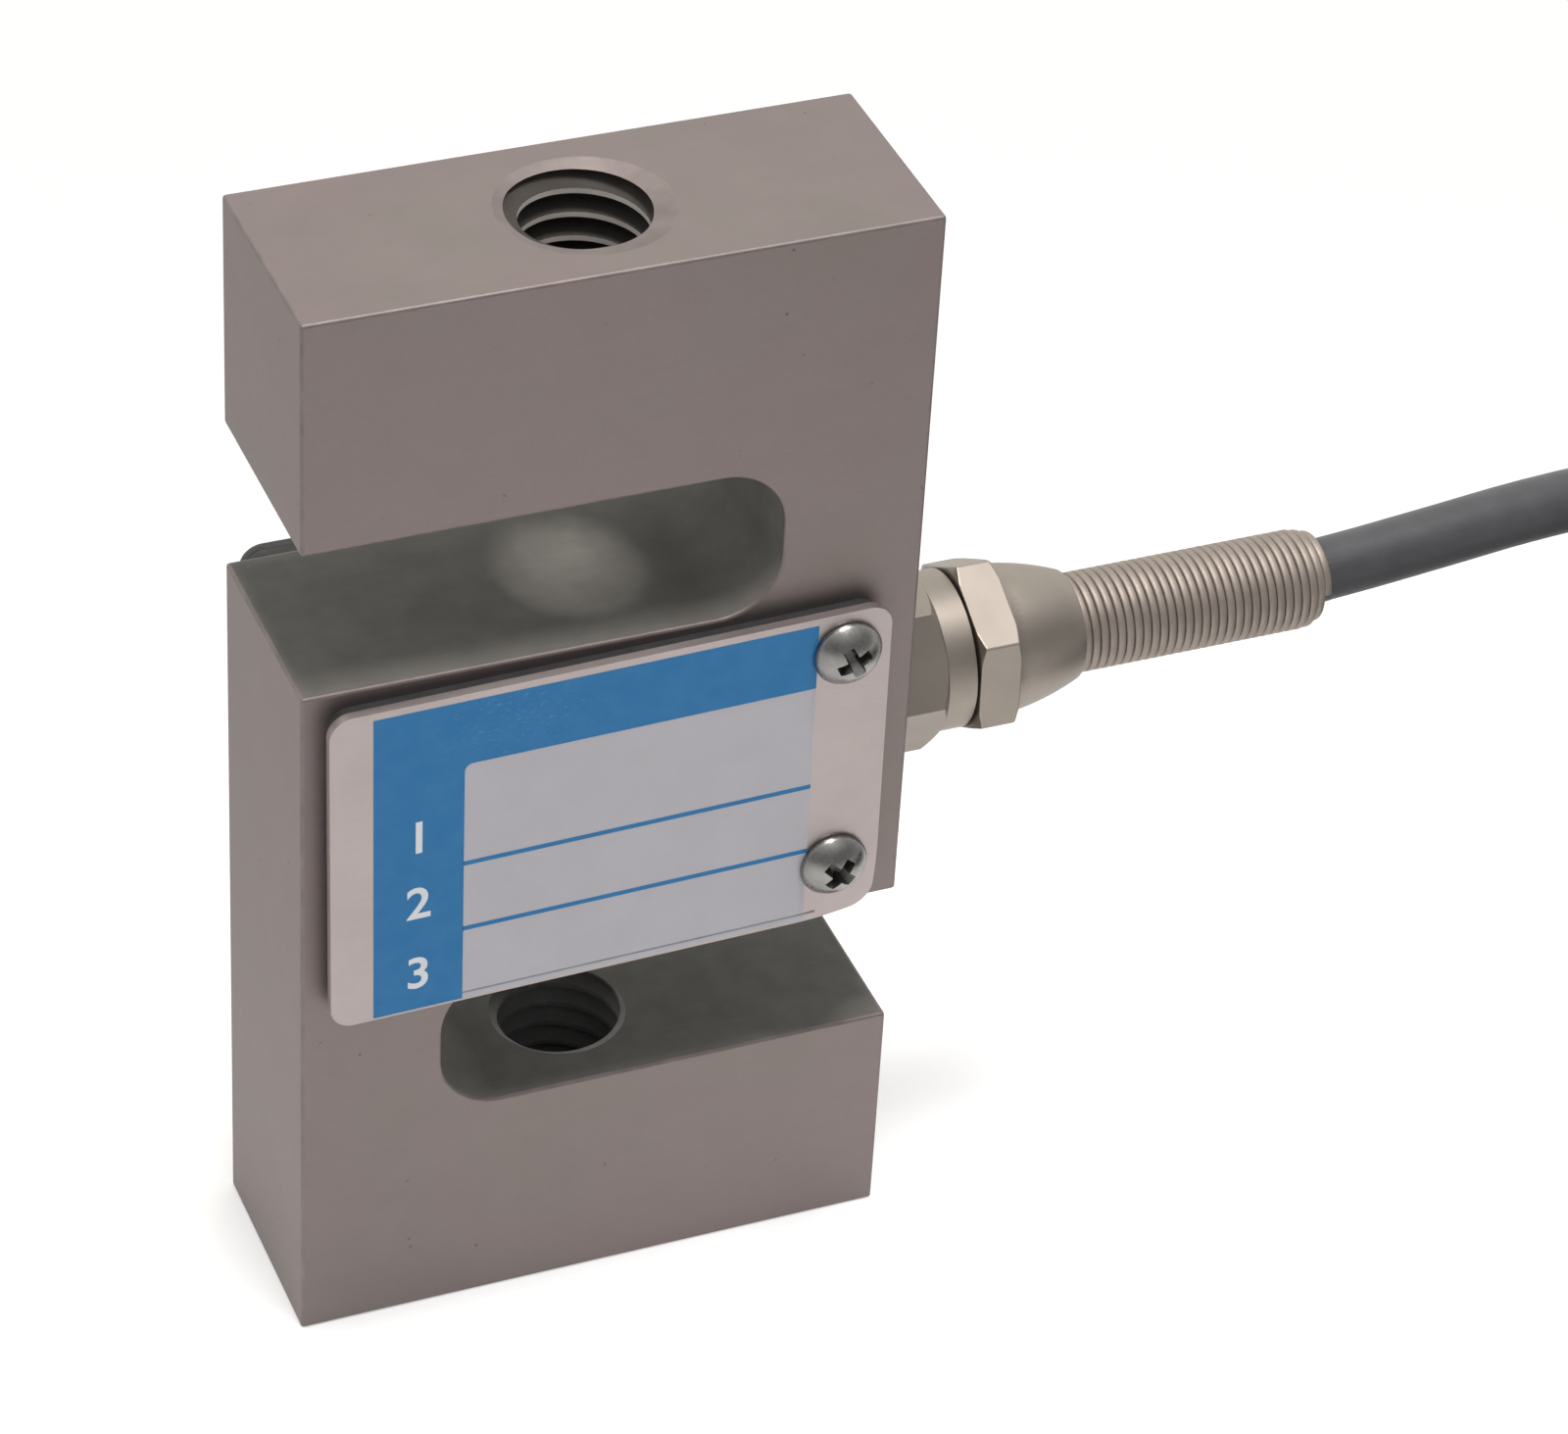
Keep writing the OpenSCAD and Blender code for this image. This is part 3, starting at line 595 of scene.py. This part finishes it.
# The kinds of face, and their finishes in the same order. The slots, the upper thread's grooves and the lower
# thread's walls have painted shade, and the upper thread's crests a painted highlight.
OUTER, EDGE, SLOT, GROOVE, CREST, LOWER_THREAD, MOUTH = range(7)
KIND_FINISHES = [body_finish, edge_finish, sawn_slot_painted_shade, groove_painted_shade, crest_painted_highlight, lower_thread_painted_shade,
                 edge_finish]


def slot_boxes():
    """The record's two openings, the sideways slots: lowest and highest corner in metres."""
    return [[Vector(corner) for corner in opening["box_m"]]
            for opening in frame["record"]["physics"]["openings"]]


def in_slot(point):
    """True for a point on the walls of the two slots, which reach a little past the openings."""
    margin, rounding = 1.5 * MM, 8 * MM
    for low, high in slot_boxes():
        open_left = low.x < -abs(high.x)
        inside_x = point.x < high.x + rounding if open_left else point.x > low.x - rounding
        if inside_x and low.z - margin < point.z < high.z + margin:
            return True
    return False


def is_outer(face):
    """True for the block's six outer sides."""
    centre, normal = face.calc_center_median(), face.normal
    facing = 0.99
    return (abs(normal.x) > facing and abs(abs(centre.x) - BODY_HIGH.x) < NEAR
            or abs(normal.y) > facing and abs(abs(centre.y) - BODY_HIGH.y) < NEAR
            or normal.z > facing and abs(centre.z - BODY_HIGH.z) < NEAR
            or normal.z < -facing and abs(centre.z - BODY_LOW.z) < NEAR)


def is_slot(face):
    """True for a slot's floor, roof and round end, and not for the pocket's walls."""
    along_y = abs(face.normal.y) < 0.1
    return not is_outer(face) and along_y and in_slot(face.calc_center_median())


def dish_mouths(bm):
    """Flattens the countersinks at the block's top and bottom into shallow dishes."""
    countersink = MOUTH_R - BORE_R
    for vert in bm.verts:
        for end in (BODY_HIGH.z, BODY_LOW.z):
            deep = vert.co.z - end
            in_mouth = math.hypot(vert.co.x, vert.co.y) < MOUTH_R + NEAR
            if in_mouth and abs(deep) < countersink + NEAR:
                vert.co.z = end + deep * DISH / countersink


def round_edges(bm):
    """Rounds the block's outline, and a little the holes' mouths."""
    outline, mouths = [], []
    outline_angle, mouth_angle = 60, 30
    for edge in bm.edges:
        if len(edge.link_faces) != 2:
            continue
        middle = (edge.verts[0].co + edge.verts[1].co) / 2
        angle = math.degrees(edge.calc_face_angle(0))
        broad = [is_outer(face) or is_slot(face) for face in edge.link_faces]
        at_hole = math.hypot(middle.x, middle.y) < MOUTH_R + 0.2 * MM
        if at_hole and angle > mouth_angle and any(broad):
            mouths.append(edge)
        elif all(broad) and angle > outline_angle:
            outline.append(edge)
    rounding = {"offset_type": "OFFSET", "affect": "EDGES", "profile": 0.5, "clamp_overlap": True}
    bmesh.ops.bevel(bm, geom=outline, offset=EDGE_ROUND, segments=3, material=EDGE, **rounding)
    mouths = [edge for edge in mouths if edge.is_valid]
    bmesh.ops.bevel(bm, geom=mouths, offset=MOUTH_ROUND, segments=2, material=EDGE, **rounding)


def thread_cutter(start, stop, groove_at):
    """A helical groove of 60 degree form on the load axis, its middle running from start to stop.

    groove_at is a height of its middle at the back of the hole.
    """
    steps = 96
    inside_r = THREAD_D / 2 - 1.05 * MM
    root_half = THREAD_PITCH / 10
    inside_half = root_half + (ROOT_R - inside_r) * math.tan(math.radians(30))
    section = [(inside_r, -inside_half), (ROOT_R, -root_half), (ROOT_R, root_half), (inside_r, inside_half)]
    first, last = (round(((z - groove_at) / THREAD_PITCH + 0.25) * steps) for z in (start, stop))
    rings = []
    for i in range(first, last + 1):
        angle = 2 * math.pi * i / steps
        rise = groove_at + (i / steps - 0.25) * THREAD_PITCH
        rings.append([(r * math.cos(angle), r * math.sin(angle), rise + z) for r, z in section])
    bm = bmesh.new()
    tube_rings(bm, rings)
    return mesh_from(bm, "thread_cutter")


def cut_threads(mesh):
    """The mesh with a thread through each arm, which runs out past the arm so that no end shows."""
    slots = sorted((low.z, high.z) for low, high in slot_boxes())
    beyond = 1.5 * THREAD_PITCH
    for low, high in ((BODY_LOW.z, slots[0][0]), (slots[1][1], BODY_HIGH.z)):
        cutter = thread_cutter(low - beyond, high + beyond, BODY_HIGH.z - GROOVE_DOWN)
        mesh = cut_out(mesh, cutter, "sensing_body_threaded")
    return mesh


def hole_kind(polygon):
    """The kind of a face in a threaded hole or its mouth. Any other face keeps its kind."""
    # The most that a crest, a groove's side and a dish may face up or down
    crest_most, groove_most, dish_most = 0.1, 0.93, 0.98
    away = math.hypot(polygon.center.x, polygon.center.y)
    facing_up = abs(polygon.normal.z)
    upper = polygon.center.z > BODY_MID.z
    if away < BORE_R + 2 * NEAR and facing_up < crest_most:
        return CREST if upper else LOWER_THREAD
    if away < ROOT_R + 0.05 * MM and facing_up < groove_most:
        return GROOVE if upper else LOWER_THREAD
    if away < MOUTH_R and facing_up < dish_most:
        return MOUTH
    return polygon.material_index


def body_mesh():
    """The CAD block with dished mouths, rounded edges, cut threads and a finish for each kind of face."""
    bm = node_copy("sensing_body")
    dish_mouths(bm)
    for face in bm.faces:
        face.material_index = SLOT if is_slot(face) else OUTER
    round_edges(bm)
    mesh = mesh_from(bm, "sensing_body_plain")
    for material in KIND_FINISHES:
        mesh.materials.append(material)
    mesh = cut_threads(mesh)
    for polygon in mesh.polygons:
        polygon.material_index = hole_kind(polygon)
    shade_smooth(mesh, angle=28)
    for kind in (GROOVE, CREST, LOWER_THREAD, MOUTH):
        split_shading(mesh, kind)
    return mesh


def split_shading(mesh, kind):
    """Sharp edges between one kind of face and the others, so that no shading runs across."""
    bm = bmesh.new()
    bm.from_mesh(mesh)
    for edge in bm.edges:
        if sum(face.material_index == kind for face in edge.link_faces) == 1:
            edge.smooth = False
    bm.to_mesh(mesh)
    bm.free()


body = add_piece("sensing_body_threaded", body_mesh(), [], ["sensing_body"])
weight_normals(body)


# ---------------------------------------------------------------- spring


def rounded_square(angle):
    """A point of the wire's section: a rounded square that reaches 1 from its middle on each side."""
    roundness = 0.52
    return [math.copysign(abs(f(angle)) ** roundness, f(angle)) for f in (math.cos, math.sin)]


def add_spring():
    """Close-wound wire of a rounded square section, its last turns closing in on the leaning cable."""
    low, high, middle = box("strain_relief_spring")
    wire, clear = 0.75 * MM, 0.05 * MM
    turns, closing = 32.5, 2.5
    steps, sides = 44, 12
    section = [rounded_square(2 * math.pi * (k + 0.5) / sides) for k in range(sides)]
    full_r = (high.z - low.z) / 2 - wire / 2
    end_r = CABLE_D / 2 + wire / 2 + clear
    rise = high.x - low.x - wire
    count = round(turns * steps)
    rings = []
    for i in range(count + 1):
        u = i / count
        angle = 2 * math.pi * turns * u
        closed = max(0, (u * turns - turns + closing) / closing)
        radius = end_r + (full_r - end_r) * math.cos(math.pi / 2 * closed)
        out = Vector((0, math.cos(angle), math.sin(angle)))
        x = low.x + wire / 2 + u * rise
        lean = (1 - math.cos(math.pi / 2 * closed)) * (axis_z(x) - middle.z)
        centre = Vector((x, 0, middle.z + lean)) + radius * out
        rings.append([centre + wire / 2 * (a * out + Vector((b, 0, 0))) for a, b in section])
    bm = bmesh.new()
    tube_rings(bm, rings)
    return add_piece("relief_spring", mesh_from(bm, "relief_spring", smooth_angle=60),
                     [spring_finish], ["strain_relief_spring"])


spring = add_spring()


# ---------------------------------------------------------------- cover screws

HEAD_D, HEAD_H = 5.7 * MM, 2 * MM
SHANK_D, SHANK_L = 2.9 * MM, 7 * MM


def turned(bm, profile):
    """A solid turned about Z from a profile of (radius, height) that starts and ends on the axis."""
    segments = 48
    rings = []
    for radius, height in profile[1:-1]:
        rings.append([(radius * math.cos(2 * math.pi * k / segments),
                       radius * math.sin(2 * math.pi * k / segments), height) for k in range(segments)])
    tube_rings(bm, rings)


def screw_head_mesh():
    """Pan head with a rolled rim, a shallow dome and a tapered cross recess."""
    rim_h, rim_round, tip_chamfer = 0.18 * HEAD_H, 0.15 * MM, 0.3 * MM
    dome_h = HEAD_H - rim_h
    half = HEAD_D / 2
    sphere_r = (half**2 + dome_h**2) / (2 * dome_h)
    profile = [(0, -SHANK_L), (SHANK_D / 2 - tip_chamfer, -SHANK_L), (SHANK_D / 2, -SHANK_L + tip_chamfer),
               (SHANK_D / 2, 0), (half - rim_round, 0), (half - rim_round / 3, rim_round / 3),
               (half, rim_round), (half, rim_h)]
    arc = math.asin(half / sphere_r)
    rows = 10
    for i in range(1, rows):
        a = arc * (1 - i / rows)
        profile.append((sphere_r * math.sin(a), HEAD_H - sphere_r + sphere_r * math.cos(a)))
    profile.append((0, HEAD_H))
    bm = bmesh.new()
    turned(bm, profile)
    head = mesh_from(bm, "screw_head")

    # Half width and half length of each bar of the cross, above the head and at the recess's floor
    wing_top, wing_deep = (0.56 * MM, 1.8 * MM), (0.3 * MM, 0.75 * MM)
    floor, above = HEAD_H - 1.4 * MM, HEAD_H + 0.2 * MM
    for turn in (0, math.pi / 2):
        rings = []
        for (across, along), z in ((wing_deep, floor), (wing_top, above)):
            corners = [(-along, -across), (along, -across), (along, across), (-along, across)]
            rings.append([(x * math.cos(turn) - y * math.sin(turn),
                           x * math.sin(turn) + y * math.cos(turn), z) for x, y in corners])
        bm = bmesh.new()
        tube_rings(bm, rings)
        head = cut_out(head, mesh_from(bm, "recess_wing"), "screw_head")
    # A face takes only a material that the mesh has a place for
    recess = 1
    while len(head.materials) <= recess:
        head.materials.append(None)
    # The recess's faces take the second material, which has painted shade
    for polygon in head.polygons:
        away = math.hypot(polygon.center.x, polygon.center.y)
        low_down, in_head = polygon.center.z < floor + NEAR, polygon.center.z > 0.05 * MM
        recess_floor = low_down and polygon.normal.z > 0.9 and away < half / 2
        recess_wall = in_head and abs(polygon.normal.z) < 0.5 and away < wing_top[1]
        if recess_floor or recess_wall:
            polygon.material_index = recess
    return head


def add_cover_screws(name, cover, outward, turns, replaced):
    """The two screws at the gland end of a cover, each turned by its angle in degrees.

    outward is -1 at the front and +1 at the rear.
    """
    low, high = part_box(cover)
    inset, inset_top, inset_low = 3.8 * MM, 3.6 * MM, 5.6 * MM
    face_y = low.y if outward < 0 else high.y
    head = screw_head_mesh()
    bm = bmesh.new()
    for z, turn in zip((high.z - inset_top, low.z + inset_low), turns):
        stand = Matrix.Translation((high.x - inset, face_y, z))
        tip = Matrix.Rotation(math.radians(90 if outward < 0 else -90), 4, "X")
        spin = Matrix.Rotation(math.radians(turn), 4, "Z")
        placed = head.copy()
        placed.transform(stand @ tip @ spin)
        bm.from_mesh(placed)
        bpy.data.meshes.remove(placed)
    mesh = bpy.data.meshes.new(name)
    bm.to_mesh(mesh)
    bm.free()
    shade_smooth(mesh, angle=35)
    add_piece(name, mesh, [screw_finish, recess_painted_shade], [replaced])


add_cover_screws("front_screw_pair", "front_cover", -1, (25, 50), "front_cover_screws")
add_cover_screws("rear_screw_pair", "rear_cover", 1, (10, 70), "rear_cover_screws")


# ---------------------------------------------------------------- nameplate and its gasket

GASKET_LOW, GASKET_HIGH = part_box("front_gasket")

# The plate sits this much low on its screws, and its pressed corner goes back by BEND over BEND_L
PLATE_DROP = 0.3 * MM
BEND, BEND_L = 0.9 * MM, 5 * MM


def turned_on_screws(drop=0.0):
    """The plate's small turn about its middle, a little skewed, and its drop."""
    slope, lean = math.radians(1.25), math.radians(0.4)
    turn = Matrix.Identity(4)
    turn[2][0], turn[0][2] = math.sin(slope), -math.sin(lean)
    middle = Matrix.Translation(PLATE_MID)
    return Matrix.Translation((0, 0, -drop)) @ middle @ turn @ middle.inverted()


def add_bent(name, node, finish_material, inset=0.0, edge=0.1 * MM):
    """A copy of the plate or its gasket, its lower corner by the gland pressed back to the block.

    inset is how far it is trimmed all round, and edge the rounding of its edges.
    """
    bm = node_copy(node)
    outward = Vector((1, 0, -1)).normalized()
    corner = Vector((PLATE_HIGH.x, 0, PLATE_LOW.z))
    strips = 6
    for i in range(strips):
        start = corner - outward * BEND_L * (1 - i / strips)
        bmesh.ops.bisect_plane(bm, geom=[*bm.verts, *bm.edges, *bm.faces], plane_co=start, plane_no=outward)
    size = PLATE_HIGH - PLATE_LOW
    for vert in bm.verts:
        beyond = max(0, BEND_L + (vert.co - corner).dot(outward)) / BEND_L
        off_block = min(1, (BODY_LOW.y - vert.co.y) / (GASKET_HIGH.y - GASKET_LOW.y))
        vert.co.y += off_block * BEND * beyond**2
        vert.co.x = PLATE_MID.x + (vert.co.x - PLATE_MID.x) * (1 - 2 * inset / size.x)
        vert.co.z = PLATE_MID.z + (vert.co.z - PLATE_MID.z) * (1 - 2 * inset / size.z)
    bm.transform(turned_on_screws(PLATE_DROP))
    piece = add_piece(name, mesh_from(bm, name), [finish_material], [node])
    soften(piece, edge)


add_bent("front_plate_bent", "front_cover", plate_finish)
add_bent("front_gasket_pressed", "front_gasket", rubber_finish, inset=0.4 * MM,
         edge=0.08 * MM)


# ---------------------------------------------------------------- nameplate print

INK_T = 0.02 * MM
INK_SUNK = 0.01 * MM

# The printed field's edges and its rules' heights, from the plate's edges
FIELD_LEFT = PLATE_LOW.x + 3.5 * MM
COLUMN_RIGHT = PLATE_LOW.x + 10.9 * MM
FIELD_RIGHT = PLATE_HIGH.x - 6.2 * MM
BAND_TOP = PLATE_HIGH.z - 0.95 * MM
BAND_LOW = PLATE_HIGH.z - 7.0 * MM
FIELD_LOW = PLATE_LOW.z - 0.1 * MM
RULES = [PLATE_HIGH.z - 16.7 * MM, PLATE_HIGH.z - 23.2 * MM]


def add_print(name, outlines, material, lift=0.0):
    """Thin ink on the plate. Each outline is a list of (x, z), and lift brings the ink's face forward."""
    bm = bmesh.new()
    back, front = PLATE_LOW.y + INK_SUNK, PLATE_LOW.y - INK_T - lift
    for outline in outlines:
        tube_rings(bm, [[(x, y, z) for x, z in outline] for y in (back, front)])
    bm.transform(turned_on_screws())
    add_piece(name, mesh_from(bm, name), [material])


def rectangle(left, low, right, high):
    """An upright rectangle's outline."""
    return [(left, low), (right, low), (right, high), (left, high)]


def band_outline():
    """The L of the column and the top band, with a round inner corner."""
    r, steps = 0.7 * MM, 8
    inner = []
    for i in range(steps + 1):
        a = math.radians(90 + 90 * i / steps)
        inner.append((COLUMN_RIGHT + r + r * math.cos(a), BAND_LOW - r + r * math.sin(a)))
    return [(FIELD_LEFT, FIELD_LOW), (FIELD_LEFT, BAND_TOP), (FIELD_RIGHT, BAND_TOP), (FIELD_RIGHT, BAND_LOW),
            *inner, (COLUMN_RIGHT, FIELD_LOW)]


def add_label():
    """The pale field under a blue L, its two blue rules, and a thin grey line near its foot."""
    under_band, sunk = 0.2 * MM, 0.012 * MM
    field = rectangle(COLUMN_RIGHT - under_band, FIELD_LOW, FIELD_RIGHT, BAND_LOW + under_band)
    add_print("label_cells", [field], ink_white, -sunk)
    add_print("label_band", [band_outline()], ink_blue)
    rule_t, overlap = 0.42 * MM, 0.05 * MM
    rules = [rectangle(COLUMN_RIGHT - overlap, z - rule_t / 2, FIELD_RIGHT, z + rule_t / 2) for z in RULES]
    add_print("label_rules", rules, ink_blue)
    low_line, low_line_t, past_field = FIELD_LOW + 0.5 * MM, 0.16 * MM, 1 * MM
    line = rectangle(COLUMN_RIGHT, low_line, FIELD_RIGHT + past_field, low_line + low_line_t)
    add_print("label_low_line", [line], ink_grey)


def add_row_numbers():
    """Plain row numbers in the blue column."""
    tall, tall_of_font = 3.1 * MM, 0.72
    rows = [RULES[0] + 2.1 * MM, RULES[1] + 2.1 * MM, FIELD_LOW + 2.2 * MM]
    bm = bmesh.new()
    for number, low in enumerate(rows, 1):
        text = bpy.data.curves.new("row_number", "FONT")
        text.body = str(number)
        text.align_x = "CENTER"
        text.size = tall / tall_of_font
        text.extrude = INK_T / 2
        text.offset = 0.06 * MM
        holder = bpy.data.objects.new("row_number", text)
        mesh = bpy.data.meshes.new_from_object(holder)
        bpy.data.objects.remove(holder)
        middle_x = (FIELD_LEFT + COLUMN_RIGHT) / 2
        stand = Matrix.Translation((middle_x, PLATE_LOW.y - INK_T, low))
        mesh.transform(stand @ Matrix.Rotation(math.radians(90), 4, "X"))
        bm.from_mesh(mesh)
        bpy.data.meshes.remove(mesh)
    bmesh.ops.remove_doubles(bm, verts=bm.verts, dist=0.0005 * MM)
    bm.transform(turned_on_screws())
    add_piece("label_row_numbers", mesh_from(bm, "label_row_numbers"), [ink_digits])


add_label()
add_row_numbers()


# ---------------------------------------------------------------- finishes of the CAD nodes

# Rounding of the edges, in millimetres
SOFT_EDGES = {
    "rear_cover": 0.1, "rear_gasket": 0.08,
    "gland_body": 0.12, "gland_nut": 0.14, "cable_ties": 0.25, "end_sleeve": 0.2,
    "terminal_board": 0.05, "bridge_resistors": 0.06,
}


def dress_nodes():
    """Finishes for the CAD nodes that stay as they are, and rounding for those with plain edges."""
    for name, finish_material in NODE_FINISHES.items():
        node = frame["nodes"][name]
        node.data.materials.clear()
        node.data.materials.append(finish_material)
        if name in SOFT_EDGES:
            soften(node, SOFT_EDGES[name] * MM)


dress_nodes()

cable = add_cable()
cable.data.materials.append(jacket_finish)


# ---------------------------------------------------------------- studio


def add_floor():
    """A white floor that keeps the object's shadow, with a painted pool of light round the object that only
    the camera and reflections see.
    """
    bm = bmesh.new()
    bmesh.ops.create_grid(bm, x_segments=1, y_segments=1, size=6)
    mesh = bpy.data.meshes.new("floor")
    bm.to_mesh(mesh)
    bm.free()
    floor = bpy.data.objects.new("floor", mesh)
    bpy.context.scene.collection.objects.link(floor)
    material = bpy.data.materials.new("floor_white")
    material.use_nodes = True
    tree = material.node_tree
    tree.nodes.clear()
    grey = 0.63
    # Painted pool of light: the glow is full near the object and gone further out
    glow_middle, glow_level, glow_full, glow_gone = (0.04, -0.06, 0), 0.5, 0.04, 0.17
    matt = put(tree, "ShaderNodeBsdfDiffuse", Color=(grey, grey, grey, 1))
    coords = put(tree, "ShaderNodeTexCoord").outputs["Object"]
    away = put(tree, "ShaderNodeVectorMath", {"operation": "DISTANCE"}, i0=coords, i1=glow_middle)
    near = spread(tree, away.outputs["Value"], glow_level, 0, start=glow_full, stop=glow_gone)
    level = put(tree, "ShaderNodeMath", {"operation": "MULTIPLY"},
                i0=near, i1=seen_directly(tree)).outputs[0]
    glow = put(tree, "ShaderNodeEmission", Color=(1, 1, 1, 1), Strength=level)
    both = put(tree, "ShaderNodeAddShader", i0=matt.outputs[0], i1=glow.outputs[0])
    put(tree, "ShaderNodeOutputMaterial", Surface=both.outputs[0])
    mesh.materials.append(material)


def seen_directly(tree):
    """1 for rays from the camera and in reflections or glass, 0 for light that falls on things."""
    path = put(tree, "ShaderNodeLightPath")
    first = put(tree, "ShaderNodeMath", {"operation": "MAXIMUM"}, i0=path.outputs["Is Camera Ray"],
                i1=path.outputs["Is Glossy Ray"]).outputs[0]
    return put(tree, "ShaderNodeMath", {"operation": "MAXIMUM"}, i0=first,
               i1=path.outputs["Is Transmission Ray"]).outputs[0]


def add_world():
    """Soft surroundings: a dim room in front, a white backdrop behind and a pale ceiling."""
    world = bpy.data.worlds.new("studio")
    world.use_nodes = True
    bpy.context.scene.world = world
    tree = world.node_tree
    tree.nodes.clear()
    direction = put(tree, "ShaderNodeTexCoord").outputs["Generated"]
    axes = put(tree, "ShaderNodeSeparateXYZ", Vector=direction)
    dim_front, white_back, ceiling = 0.32, 1.36, 0.78
    white, warm_white = (1, 1, 1, 1), (1, 0.995, 0.94, 1)
    around = spread(tree, axes.outputs["Y"], dim_front, white_back, start=-0.35, stop=0.3)
    behind = spread(tree, axes.outputs["Y"], 0, 1, start=0, stop=0.4)
    overhead = spread(tree, axes.outputs["Z"], 0, 1, start=0.45, stop=0.8)
    level = put(tree, "ShaderNodeMix", {"data_type": "FLOAT"}, i0=overhead, i2=around, i3=ceiling).outputs[0]
    tint = blend_colours(tree, behind, white, warm_white)
    surroundings = put(tree, "ShaderNodeBackground", Color=tint, Strength=level)
    put(tree, "ShaderNodeOutputWorld", Surface=surroundings.outputs[0])


def add_lamp(name, place_at, target, size, power, colour):
    """A soft oval lamp that looks at a target. Places and sizes are in metres, the power in watts."""
    data = bpy.data.lights.new(name, "AREA")
    data.shape = "ELLIPSE"
    data.size, data.size_y = size
    data.energy = power
    data.color = colour
    lamp = bpy.data.objects.new(name, data)
    lamp.location = place_at
    lamp.rotation_mode = "QUATERNION"
    lamp.rotation_quaternion = (Vector(target) - Vector(place_at)).to_track_quat("-Z", "Y")
    bpy.context.scene.collection.objects.link(lamp)


add_floor()
add_world()
add_lamp("ceiling_lamp", (0.01, -0.09, 1.3), BODY_MID, size=(0.25, 0.5), power=15.5,
         colour=(1, 0.97, 0.94))

bpy.context.scene.view_settings.view_transform = "Standard"
